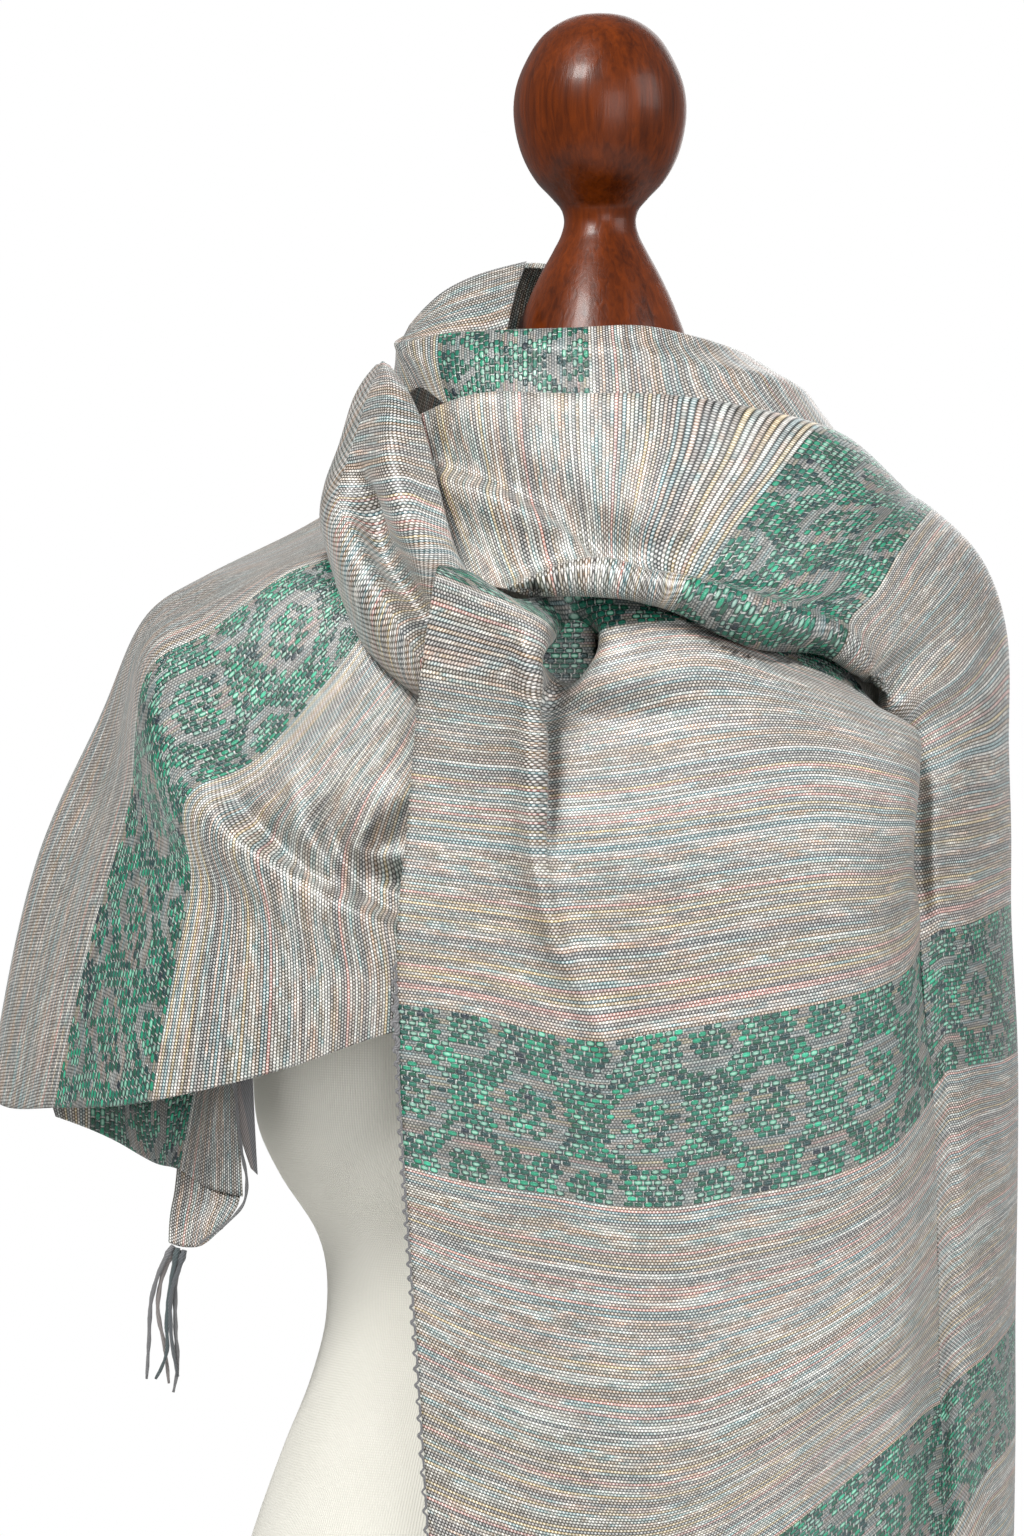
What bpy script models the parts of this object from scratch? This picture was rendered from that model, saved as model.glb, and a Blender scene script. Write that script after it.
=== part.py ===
"""Silk scarf wound round a limbless dress form on a counter stand.

The scarf is one woven length, cut into the stretches that show: a wrap over the left shoulder and the
back, a twisted loop at the left of the neck, a stand-up collar, a drape over the right shoulder, a front
panel that falls from the loop, and the free end behind the left arm, with twisted fringes at both ends.
Lengths are in millimetres up to the meshes, which are in metres. X is the viewer's right, Y points away
from the viewer and Z is up, from the floor below the middle of the base.
"""
import bpy
import bmesh
import numpy as np
from math import cos, pi, radians, sin
from mathutils import Vector
from mathutils.bvhtree import BVHTree

for item in list(bpy.data.objects):
    bpy.data.objects.remove(item, do_unlink=True)

# Driving dimensions.
MM = 0.001
CLOTH = 1.5
GAP = 0.35
FACET = 0.45
VIEW_DISTANCE = 2400.0
EYE_X = -39.6
EYE_Z = 703.9
BASE_RADIUS = 150.0
BASE_HEIGHT = 28.0
POLE_RADIUS = 15.0
TORSO_BOTTOM = 240.0
TORSO_TOP = 872.0
NECK_SHIFT = 4.0
FINIAL_TOP = 1043.0
FRINGE = 66.0
FRINGE_PITCH = 8.0
STRAND = 2.4

# Sections of the dress form: height, half width, depth in front, depth behind.
TORSO_SECTIONS = (
    (240, 170, 98, 112),
    (270, 175, 100, 116),
    (310, 170, 100, 112),
    (358, 157, 97, 102),
    (400, 142, 91, 92),
    (430, 130, 86, 85),
    (460, 123, 83, 82),
    (495, 127, 88, 86),
    (522, 144, 100, 93),
    (541, 153, 108, 96),
    (565, 156, 116, 100),
    (600, 156, 120, 104),
    (640, 155, 117, 108),
    (680, 155, 106, 110),
    (720, 155, 92, 110),
    (750, 155, 80, 104),
    (772, 148, 68, 94),
    (788, 130, 60, 82),
    (802, 104, 54, 72),
    (818, 76, 52, 64),
    (840, 60, 50, 57),
    (872, 52, 46, 54),
)

# Turned neck finial: radius and height, down its outer side from the top.
FINIAL_PROFILE = (
    (0.0, 1043.2), (14.0, 1041.0), (25.0, 1034.0), (33.5, 1021.5), (38.0, 1009.5), (39.0, 1001.0),
    (38.0, 990.0), (34.5, 978.0), (28.5, 967.5), (21.5, 960.0), (17.2, 954.5), (16.2, 950.0),
    (17.4, 944.0), (20.8, 937.0), (26.5, 926.5), (32.2, 914.5), (36.4, 904.0), (41.5, 890.0),
    (46.0, 880.0), (48.5, 876.5), (48.5, 872.4), (0.0, 872.4),
)

# Turned base: radius and height, down its outer side from the top.
BASE_PROFILE = (
    (0.0, 28.0), (30.0, 28.0), (33.0, 24.5), (60.0, 22.5), (120.0, 19.5), (140.0, 18.0), (147.0, 14.5),
    (150.0, 9.5), (149.0, 3.0), (146.0, 0.0), (0.0, 0.0),
)

# Cloth tables. Each row is a line across the cloth: its name, the cloth length in millimetres at which it
# lies, and then the points named above the table, as (across, height, depth). Across and height are as seen
# in the plane of the form's axis from VIEW_DISTANCE in front, and depth is behind that plane.

# Shoulder wrap: neck, shoulder in, shoulder middle, shoulder out, tip, upper, lower, hem.
SHOULDER_WRAP = (
    ("front_end", 0, (-56, 762, -116), (-58, 734, -120), (-62, 708, -124), (-64, 680, -126),
     (-65, 658, -128), (-67, 633, -132), (-68, 611, -134), (-68, 591, -133)),
    ("front_fold", 32, (-65, 770, -114), (-70, 744, -118), (-79, 714, -120), (-91, 690, -120),
     (-99, 667, -114), (-101, 638, -124), (-99, 611, -132), (-100, 583, -131)),
    ("chest", 72, (-70, 775, -108), (-81, 752, -112), (-101, 726, -114), (-124, 696, -115),
     (-140, 672, -112), (-140, 640, -118), (-139, 604, -120), (-140, 569, -118)),
    ("band_front", 122, (-79, 784, -100), (-101, 770, -100), (-122, 744, -103), (-155, 708, -102),
     (-184, 692, -95), (-184, 654, -96), (-193, 606, -94), (-202, 554, -90)),
    ("band_back", 194, (-90, 809, -78), (-112, 801, -78), (-140, 792, -78), (-173, 768, -80),
     (-200, 747, -74), (-208, 690, -68), (-227, 627, -60), (-246, 551, -52)),
    ("arm_front", 239, (-81, 834, -45), (-106, 816, -48), (-140, 799, -48), (-176, 783, -46),
     (-203, 762, -40), (-217, 712, -34), (-245, 642, -28), (-266, 551, -26)),
    ("arm_edge", 279, (-76, 846, 0), (-106, 821, 0), (-142, 804, 0), (-178, 790, 0),
     (-202, 774, 2), (-225, 727, 6), (-254, 661, 8), (-275, 559, 5)),
    ("arm_back", 349, (-70, 852, 40), (-94, 836, 52), (-124, 816, 58), (-155, 794, 60),
     (-184, 762, 62), (-202, 708, 68), (-227, 649, 74), (-243, 561, 70)),
    ("back_left", 459, (-40, 856, 62), (-58, 834, 84), (-76, 806, 98), (-94, 770, 106),
     (-112, 730, 112), (-130, 680, 118), (-144, 626, 120), (-153, 568, 120)),
    ("back_middle", 589, (0, 857, 68), (0, 834, 90), (0, 806, 106), (0, 770, 114),
     (0, 730, 120), (0, 680, 124), (0, 631, 126), (0, 577, 126)),
    ("back_right", 704, (40, 856, 62), (58, 834, 82), (76, 806, 94), (92, 770, 101),
     (104, 730, 106), (112, 680, 108), (117, 631, 108), (122, 586, 108)),
    ("side_back", 779, (70, 847, 35), (97, 829, 48), (122, 806, 56), (140, 775, 60),
     (151, 734, 62), (155, 685, 60), (158, 640, 58), (160, 595, 56)),
    ("side_end", 839, (76, 842, 0), (106, 822, 0), (133, 802, 2), (151, 775, 4),
     (158, 734, 4), (160, 690, 4), (162, 644, 2), (162, 600, 0)),
)

# Right drape: seam, roll low, roll front, roll top, chest low, chest middle, chest top, fold, tuck.
RIGHT_DRAPE = (
    ("loop_end", 0, (-59, 781, -112), (-61, 782, -118), (-63, 786, -121), (-66, 793, -118), (-71, 806, -111),
     (-78, 824, -103), (-83, 844, -93), (-85, 860, -86), (-84, 856, -80)),
    ("left", 30, (-40, 785, -116), (-41, 784, -126), (-42, 785, -131), (-44, 790, -128), (-49, 804, -120),
     (-54, 824, -114), (-58, 847, -108), (-60, 870, -102), (-59, 864, -92)),
    ("middle", 70, (-2, 789, -117), (-3, 784, -132), (-4, 791, -140), (-4, 797, -134), (-7, 806, -122),
     (-11, 824, -117), (-14, 847, -111), (-15, 871, -104), (-14, 865, -92)),
    ("chest", 105, (19, 785, -118), (21, 778, -133), (22, 785, -141), (25, 793, -134), (20, 804, -122),
     (25, 824, -116), (32, 847, -108), (36, 870, -100), (38, 863, -86)),
    ("band1_in", 128, (33, 783, -118), (32, 775, -133), (36, 784, -140), (42, 791, -132), (51, 797, -118),
     (63, 814, -108), (79, 834, -92), (97, 856, -62), (107, 852, -20)),
    ("band1_mid", 164, (69, 766, -110), (68, 758, -125), (73, 768, -133), (79, 780, -127), (88, 788, -112),
     (101, 806, -98), (118, 824, -74), (133, 834, -25), (122, 816, 50)),
    ("band1_out", 200, (109, 754, -93), (105, 754, -108), (109, 762, -116), (113, 770, -109), (124, 782, -96),
     (136, 802, -74), (149, 819, -30), (146, 811, 30), (124, 762, 85)),
    ("shoulder", 240, (121, 736, -83), (125, 738, -92), (127, 739, -98), (134, 747, -93), (146, 762, -80),
     (160, 777, -57), (173, 795, -15), (167, 770, 45), (133, 716, 98)),
    ("arm_top", 272, (133, 718, -79), (135, 721, -88), (140, 725, -90), (145, 729, -88), (158, 737, -74),
     (171, 749, -50), (183, 764, -5), (173, 734, 60), (130, 672, 108)),
    ("arm", 302, (141, 698, -76), (144, 699, -84), (149, 701, -87), (155, 703, -84), (164, 707, -72),
     (176, 710, -46), (184, 714, 0), (173, 698, 65), (126, 644, 115)),
    ("side_high", 338, (141, 666, -77), (145, 666, -85), (150, 667, -91), (156, 668, -82), (165, 669, -70),
     (176, 672, -43), (185, 675, 0), (173, 662, 66), (124, 618, 118)),
    ("band2_top", 375, (144, 625, -76), (148, 627, -84), (153, 630, -90), (158, 631, -84), (166, 633, -72),
     (177, 638, -45), (185, 642, 0), (173, 631, 68), (122, 595, 120)),
    ("band2_low", 447, (149, 559, -72), (153, 564, -80), (156, 568, -87), (161, 569, -82), (169, 571, -70),
     (180, 573, -43), (188, 577, 0), (176, 566, 68), (121, 532, 122)),
    ("side_low", 530, (152, 491, -68), (155, 495, -76), (158, 498, -81), (162, 500, -80), (170, 507, -68),
     (181, 514, -41), (188, 521, 0), (176, 512, 66), (122, 482, 122)),
    ("band3_top", 622, (153, 419, -62), (155, 422, -71), (158, 426, -79), (163, 431, -78), (172, 438, -66),
     (182, 449, -39), (187, 458, 0), (176, 451, 64), (122, 420, 120)),
    ("band3_low", 694, (154, 354, -60), (156, 357, -69), (159, 361, -77), (163, 368, -76), (172, 384, -64),
     (182, 396, -39), (187, 405, 0), (176, 397, 62), (124, 361, 118)),
    ("hem", 760, (155, 293, -58), (157, 297, -67), (160, 301, -75), (164, 307, -74), (172, 323, -62),
     (181, 334, -37), (186, 343, 0), (176, 334, 60), (125, 298, 116)),
)

# Front panel: selvage, left, pleat crest, trough, middle 1, middle 2, right, far right, bulge, seam.
FRONT_PANEL = (
    ("top_fold", 184, (-72, 795, -140), (-58, 792, -142), (-36, 780, -131), (-20, 784, -118), (0, 785, -118),
     (40, 776, -118), (81, 762, -109), (103, 754, -97), (113, 745, -91), (116, 741, -85)),
    ("band1_low", 200, (-74, 791, -140), (-56, 784, -146), (-25, 770, -149), (-13, 758, -116), (2, 766, -130),
     (42, 769, -130), (86, 752, -122), (108, 743, -112), (125, 731, -99), (120, 730, -83)),
    ("knot_low", 230, (-81, 744, -138), (-54, 739, -146), (-29, 734, -150), (-22, 729, -128), (4, 739, -138),
     (45, 747, -140), (90, 739, -134), (120, 729, -121), (143, 719, -104), (132, 714, -80)),
    ("pleat", 262, (-84, 712, -136), (-54, 708, -144), (-30, 706, -148), (-22, 701, -136), (9, 705, -144),
     (50, 712, -147), (94, 716, -139), (123, 711, -126), (144, 702, -104), (139, 696, -78)),
    ("bust_high", 297, (-87, 676, -136), (-54, 672, -143), (-28, 669, -147), (-16, 667, -142), (14, 671, -148),
     (54, 677, -150), (99, 683, -140), (126, 681, -127), (142, 679, -104), (139, 673, -77)),
    ("bust_low", 337, (-91, 636, -138), (-54, 631, -143), (-20, 626, -148), (-4, 626, -146), (22, 629, -150),
     (63, 636, -150), (104, 642, -140), (126, 644, -127), (140, 648, -103), (140, 647, -77)),
    ("band2_top", 375, (-91, 597, -138), (-58, 592, -142), (-16, 582, -147), (0, 580, -147), (27, 584, -150),
     (63, 590, -149), (104, 598, -138), (127, 605, -124), (141, 615, -101), (142, 624, -76)),
    ("band2_low", 447, (-88, 526, -137), (-56, 518, -141), (-18, 512, -145), (4, 508, -147), (32, 507, -148),
     (63, 512, -146), (104, 521, -136), (131, 534, -121), (146, 551, -97), (148, 559, -72)),
    ("belly", 510, (-84, 469, -135), (-54, 456, -139), (-18, 446, -143), (9, 442, -146), (36, 442, -146),
     (65, 449, -143), (104, 464, -133), (132, 483, -118), (148, 501, -93), (150, 508, -69)),
    ("hip", 565, (-80, 408, -133), (-50, 395, -137), (-14, 384, -141), (14, 381, -144), (40, 384, -143),
     (70, 397, -140), (106, 420, -130), (133, 440, -115), (149, 458, -88), (151, 464, -63)),
    ("band3_top", 622, (-76, 341, -131), (-45, 329, -135), (-9, 324, -139), (18, 327, -141), (47, 338, -140),
     (79, 358, -136), (112, 384, -126), (135, 403, -112), (149, 416, -86), (152, 419, -62)),
    ("band3_low", 694, (-73, 266, -129), (-44, 255, -133), (-7, 252, -138), (20, 257, -140), (50, 268, -139),
     (81, 288, -135), (113, 315, -125), (136, 337, -111), (150, 351, -84), (153, 354, -60)),
    ("hem", 760, (-71, 201, -127), (-43, 192, -131), (-4, 192, -136), (22, 199, -138), (52, 212, -137),
     (83, 230, -133), (115, 255, -124), (138, 276, -109), (151, 290, -82), (153, 293, -58)),
)

# Knot loop: back left, left outline, left lobe, crease, right lobe, right edge, under.
KNOT_LOOP = (
    ("tip", 0, (-98, 882, -30), (-101, 885, -38), (-99, 886, -46), (-98, 887, -52),
     (-96, 886, -56), (-94, 884, -54), (-94, 881, -50)),
    ("neck", 18, (-103, 867, -40), (-111, 870, -55), (-106, 871, -74), (-100, 873, -86),
     (-92, 873, -94), (-84, 869, -92), (-83, 866, -88)),
    ("high", 38, (-112, 846, -50), (-118, 848, -66), (-113, 850, -88), (-105, 852, -102),
     (-92, 852, -118), (-78, 851, -114), (-77, 848, -110)),
    ("crease", 56, (-116, 828, -56), (-124, 831, -74), (-119, 832, -96), (-111, 833, -106),
     (-93, 834, -128), (-73, 830, -122), (-72, 826, -118)),
    ("middle", 74, (-118, 810, -62), (-126, 814, -82), (-119, 816, -106), (-104, 817, -112),
     (-85, 816, -134), (-68, 811, -130), (-67, 806, -126)),
    ("belly", 92, (-114, 793, -70), (-122, 798, -92), (-112, 801, -118), (-95, 804, -120),
     (-77, 801, -136), (-65, 799, -132), (-60, 793, -128)),
    ("low", 112, (-109, 774, -80), (-116, 780, -102), (-104, 784, -126), (-88, 789, -126),
     (-74, 788, -134), (-61, 784, -133), (-54, 780, -130)),
    ("under", 132, (-99, 755, -92), (-106, 759, -112), (-94, 765, -130), (-82, 773, -130),
     (-71, 774, -133), (-58, 773, -134), (-52, 768, -132)),
    ("taper", 148, (-85, 739, -104), (-91, 744, -120), (-83, 750, -132), (-76, 757, -132),
     (-68, 759, -133), (-58, 759, -134), (-51, 757, -133)),
    ("end", 160, (-72, 729, -116), (-77, 734, -126), (-72, 739, -132), (-68, 743, -132),
     (-62, 745, -133), (-56, 746, -134), (-51, 745, -133)),
)

# Collar: inner, top edge, upper, middle, low.
COLLAR = (
    ("corner", 0, (-83, 892, -20), (-90, 895, -22), (-90, 891, -26),
     (-87, 885, -34), (-82, 875, -46)),
    ("band_start", 22, (-70, 894, -38), (-72, 899, -42), (-73, 892, -50),
     (-72, 882, -58), (-68, 867, -64)),
    ("band_mid", 52, (-45, 896, -56), (-45, 901, -62), (-45, 894, -70),
     (-45, 882, -76), (-44, 865, -82)),
    ("band_end", 85, (-14, 897, -66), (-14, 902, -72), (-14, 896, -79),
     (-14, 883, -84), (-14, 864, -88)),
    ("front", 117, (18, 898, -62), (18, 903, -68), (19, 896, -76),
     (22, 882, -82), (25, 864, -85)),
    ("front_right", 147, (40, 894, -48), (43, 898, -54), (47, 892, -60),
     (55, 880, -66), (65, 866, -66)),
    ("right_fore", 183, (55, 891, -22), (61, 892, -26), (68, 888, -28),
     (82, 878, -34), (95, 862, -34)),
    ("right", 218, (58, 896, 10), (62, 894, 12), (72, 887, 14),
     (90, 872, 16), (104, 857, 16)),
    ("right_back", 258, (47, 903, 42), (50, 902, 46), (58, 892, 55),
     (74, 870, 68), (88, 847, 76)),
    ("back", 298, (18, 914, 56), (20, 916, 62), (25, 906, 72),
     (32, 878, 84), (38, 847, 92)),
    ("back_left", 332, (-11, 926, 58), (-11, 928, 65), (-13, 914, 76),
     (-14, 883, 88), (-16, 847, 95)),
    ("left_back", 364, (-36, 929, 50), (-35, 931, 56), (-40, 919, 70),
     (-47, 888, 84), (-54, 847, 90)),
    ("left", 402, (-59, 916, 28), (-63, 919, 34), (-70, 906, 44),
     (-79, 883, 55), (-88, 847, 62)),
    ("left_fore", 436, (-77, 902, 0), (-82, 903, 2), (-86, 894, 8),
     (-94, 874, 14), (-101, 847, 18)),
)

# Tail: top, middle, low, bottom.
TAIL = (
    ("arm_side", 0, (-252, 618, 20), (-250, 582, 15),
     (-248, 559, 10), (-245, 547, 5)),
    ("band_back", 30, (-220, 618, -20), (-220, 582, -22),
     (-218, 554, -24), (-218, 536, -25)),
    ("band_mid", 60, (-196, 618, -35), (-198, 577, -38),
     (-202, 550, -40), (-193, 525, -42)),
    ("band_fore", 90, (-173, 618, -45), (-175, 582, -48),
     (-178, 557, -50), (-187, 523, -52)),
    ("plain", 110, (-164, 618, -60), (-166, 577, -62),
     (-170, 546, -64), (-184, 489, -60)),
    ("end", 130, (-158, 618, -72), (-159, 572, -74),
     (-158, 528, -74), (-180, 488, -66)),
)

# Collar flap: its lower, middle and upper lines from the corner to the tip, as (across, height, depth).
COLLAR_FLAP = (
    ("lower", (-73, 897, -16), (-66, 896, -30), (-56, 897, -38), (-45, 898, -46), (-40, 904, -38)),
    ("middle", (-74, 903, -11), (-69, 907, -18), (-60, 911, -20), (-48, 914, -18), (-38, 917, -10)),
    ("upper", (-75, 909, -5), (-71, 914, -6), (-66, 919, -2), (-51, 925, 8), (-33, 931, 18)),
)

# Looks: colour, roughness, metallic.
LOOKS = {
    "silk_stripe": ((0.53, 0.49, 0.46), 0.45, 0.0),
    "silk_front": ((0.52, 0.48, 0.44), 0.45, 0.0),
    "silk_loop": ((0.55, 0.50, 0.47), 0.42, 0.0),
    "silk_collar": ((0.56, 0.52, 0.49), 0.46, 0.0),
    "silk_drape": ((0.51, 0.48, 0.45), 0.44, 0.0),
    "silk_tail": ((0.42, 0.40, 0.38), 0.50, 0.0),
    "fringe_grey": ((0.16, 0.17, 0.18), 0.60, 0.0),
    "jersey_cream": ((0.80, 0.76, 0.66), 0.85, 0.0),
    "wood_dark": ((0.17, 0.05, 0.02), 0.28, 0.0),
}

scarf_collection = bpy.data.collections.new("silk_scarf_on_dress_form")
bpy.context.scene.collection.children.link(scarf_collection)


def look(name):
    """Principled material of one part, made from its row of LOOKS."""
    colour, roughness, metallic = LOOKS[name]
    made = bpy.data.materials.new(name)
    made.use_nodes = True
    shader = made.node_tree.nodes["Principled BSDF"]
    shader.inputs["Base Color"].default_value = (*colour, 1.0)
    shader.inputs["Roughness"].default_value = roughness
    shader.inputs["Metallic"].default_value = metallic
    made.diffuse_color = (*colour, 1.0)
    return made


def add_object(name, vertices, faces, look_name):
    """Mesh object from vertices in millimetres, with its faces turned one way."""
    mesh = bpy.data.meshes.new(name)
    mesh.from_pydata([tuple(float(c) * MM for c in v) for v in vertices], [], faces)
    mesh.materials.append(look(look_name))
    made = bpy.data.objects.new(name, mesh)
    scarf_collection.objects.link(made)
    for face in mesh.polygons:
        face.use_smooth = True
    return made


def spline(values, knots, at):
    """Cubic through the values at the knots, with slopes of the parabola through each three knots."""
    values = np.asarray(values, float)
    knots = np.asarray(knots, float)
    at = np.asarray(at, float)
    steps = np.diff(knots)
    wide = steps.reshape((-1,) + (1,) * (values.ndim - 1))
    secants = np.diff(values, axis=0) / wide
    slopes = np.empty_like(values)
    slopes[1:-1] = (secants[:-1] * wide[1:] + secants[1:] * wide[:-1]) / (wide[1:] + wide[:-1])
    slopes[0] = 1.5 * secants[0] - 0.5 * slopes[1]
    slopes[-1] = 1.5 * secants[-1] - 0.5 * slopes[-2]
    cell = np.clip(np.searchsorted(knots, at, side="right") - 1, 0, len(steps) - 1)
    shape = (-1,) + (1,) * (values.ndim - 1)
    step = steps[cell].reshape(shape)
    t = ((at - knots[cell]) / steps[cell]).reshape(shape)
    return ((2 * t**3 - 3 * t**2 + 1) * values[cell] + (t**3 - 2 * t**2 + t) * step * slopes[cell]
            + (3 * t**2 - 2 * t**3) * values[cell + 1] + (t**3 - t**2) * step * slopes[cell + 1])


def place(seen):
    """Points from (across, height, depth) to x, y, z: each slides along its own line of sight."""
    seen = np.asarray(seen, float)
    scale = 1.0 + seen[..., 2] / VIEW_DISTANCE
    x = EYE_X + (seen[..., 0] - EYE_X) * scale
    z = EYE_Z + (seen[..., 1] - EYE_Z) * scale
    return np.stack((x, seen[..., 2], z), axis=-1)


def mean_knots(points, axis):
    """Knots from the mean distances between neighbouring points along one axis of a table."""
    gaps = np.linalg.norm(np.diff(points, axis=axis), axis=2).mean(axis=1 - axis)
    return np.concatenate(([0.0], np.cumsum(gaps)))


def cloth_grid(table, along, across, ring=False):
    """Grid of points of a table's surface, with even steps along and across the cloth."""
    points = place([row[2:] for row in table])
    if ring:
        points = np.concatenate((points[-3:], points, points[:4]))
    rows = mean_knots(points, 0)
    columns = mean_knots(points, 1)
    if ring:
        at_rows = np.linspace(rows[3], rows[-4], along + 1)
    else:
        at_rows = np.linspace(rows[0], rows[-1], along + 1)
    full = spline(points, rows, at_rows)
    at_columns = np.linspace(columns[0], columns[-1], across + 1)
    return np.swapaxes(spline(np.swapaxes(full, 0, 1), columns, at_columns), 0, 1)


def grid_faces(rows, columns, ring=False, flip=False):
    """Four-sided faces of a grid of points, closed on itself along the rows where ring is set."""
    faces = []
    last = rows if ring else rows - 1
    for i in range(last):
        for j in range(columns - 1):
            a = i * columns + j
            b = ((i + 1) % rows) * columns + j
            face = (a, a + 1, b + 1, b)
            faces.append(face[::-1] if flip else face)
    return faces


class Layer:
    """One stretch of cloth: its grid, its faces and a search tree over its outer side."""

    def __init__(self, grid, ring=False, flip=False):
        self.grid = grid[:-1].copy() if ring else grid.copy()
        self.ring = ring
        self.flip = flip
        self.rebuild()

    def rebuild(self):
        """Faces and tree of the present points."""
        rows, columns = self.grid.shape[:2]
        self.faces = grid_faces(rows, columns, self.ring, self.flip)
        self.points = self.grid.reshape(-1, 3)
        self.tree = BVHTree.FromPolygons([Vector(p) for p in self.points], self.faces)

    def lift_over(self, under, gap, where=None, reach=30.0, side=3.0):
        """Move points of this stretch out, so that each lies at least a gap over the one under it."""
        for point in self.points:
            if where is not None and not where(point):
                continue
            hit, normal, index, distance = under.tree.find_nearest(Vector(point), reach)
            if hit is None:
                continue
            offset = (Vector(point) - hit).dot(normal)
            aside = max(distance**2 - offset**2, 0.0) ** 0.5
            if offset < gap and aside < side:
                point += np.array(normal) * (gap - offset)
        self.rebuild()

    def stay_behind(self, over, gap, where=None, reach=14.0):
        """Slide points back along their lines of sight, until each clears every part of the one in front."""
        eye = Vector((EYE_X, -VIEW_DISTANCE, EYE_Z))
        for point in self.points:
            if where is not None and not where(point):
                continue
            sight = Vector(point) - eye
            far = sight.length
            sight.normalize()
            start = eye.copy()
            needed = 0.0
            for _ in range(8):
                hit, normal, index, distance = over.tree.ray_cast(start, sight, far + reach)
                if hit is None:
                    break
                start = hit + sight * 0.01
                slant = max(abs(normal.dot(sight)), 0.28)
                ahead = (hit - eye).length
                if ahead < far + reach:
                    needed = max(needed, ahead + gap / slant)
            if needed > far:
                point += np.array(sight) * (needed - far)
        self.rebuild()

    def seat(self, under, centre, target, radius):
        """Bring a soft patch of this stretch to a target distance from the one it rests on."""
        spot = np.array(centre, float)
        spot = self.points[np.argmin(np.linalg.norm(self.points - spot, axis=1))].copy()
        hit = np.array(under.tree.find_nearest(Vector(spot))[0])
        distance = np.linalg.norm(spot - hit)
        move = (hit - spot) / distance * (distance - target)
        weight = np.exp(-(np.linalg.norm(self.points - spot, axis=1) / radius) ** 2)
        self.points += weight[:, None] * move
        self.rebuild()

    def build(self, name, look_name, thick=CLOTH):
        """Solid of the stretch: its outer side as it is and its wall inward."""
        made = add_object(name, self.points, self.faces, look_name)
        wall = made.modifiers.new("cloth_wall", "SOLIDIFY")
        wall.thickness = thick * MM
        wall.offset = -1.0
        wall.use_even_offset = True
        wall.thickness_clamp = 0.0
        return made


def torso_grid(sides):
    """Rings of the dress form: a flattened oval with its own depth in front and behind."""
    table = np.array(TORSO_SECTIONS, float)
    heights = table[:, 0]
    rings = []
    for height in np.concatenate((heights[:1], heights[1:])):
        row = table[heights == height][0]
        ring = []
        shift = NECK_SHIFT * np.clip((height - 780.0) / 60.0, 0.0, 1.0)
        for k in range(sides):
            turn = 2.0 * pi * k / sides
            c = cos(turn)
            s = sin(turn)
            power = 0.90
            x = row[1] * abs(c) ** power * (1 if c >= 0 else -1)
            depth = row[3] if s >= 0 else row[2]
            y = depth * abs(s) ** power * (1 if s >= 0 else -1)
            ring.append((x, y + shift, height))
        rings.append(ring)
    return np.array(rings)


def build_torso(sides=36):
    """Closed solid of the dress form, from its rings and two flat ends."""
    rings = torso_grid(sides)
    count = len(rings)
    faces = []
    for i in range(count - 1):
        for k in range(sides):
            a = i * sides + k
            b = i * sides + (k + 1) % sides
            faces.append((a, b, b + sides, a + sides))
    faces.append(tuple(range(sides))[::-1])
    faces.append(tuple((count - 1) * sides + k for k in range(sides)))
    made = add_object("form_torso", rings.reshape(-1, 3), faces, "jersey_cream")
    made.data.set_sharp_from_angle(angle=radians(50))
    return made


def turned(name, profile, look_name, steps, rise=0.0):
    """Turned solid: a profile at +X swept once round the vertical axis."""
    mesh = bpy.data.meshes.new(name)
    vertices = [(radius * MM, 0.0, (height + rise) * MM) for radius, height in profile]
    mesh.from_pydata(vertices, [(i, i + 1) for i in range(len(vertices) - 1)], [])
    mesh.materials.append(look(look_name))
    made = bpy.data.objects.new(name, mesh)
    scarf_collection.objects.link(made)
    sweep = made.modifiers.new("turning", "SCREW")
    sweep.axis = "Z"
    sweep.steps = steps
    sweep.render_steps = steps
    sweep.use_merge_vertices = True
    sweep.merge_threshold = 0.0001
    return made


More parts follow.
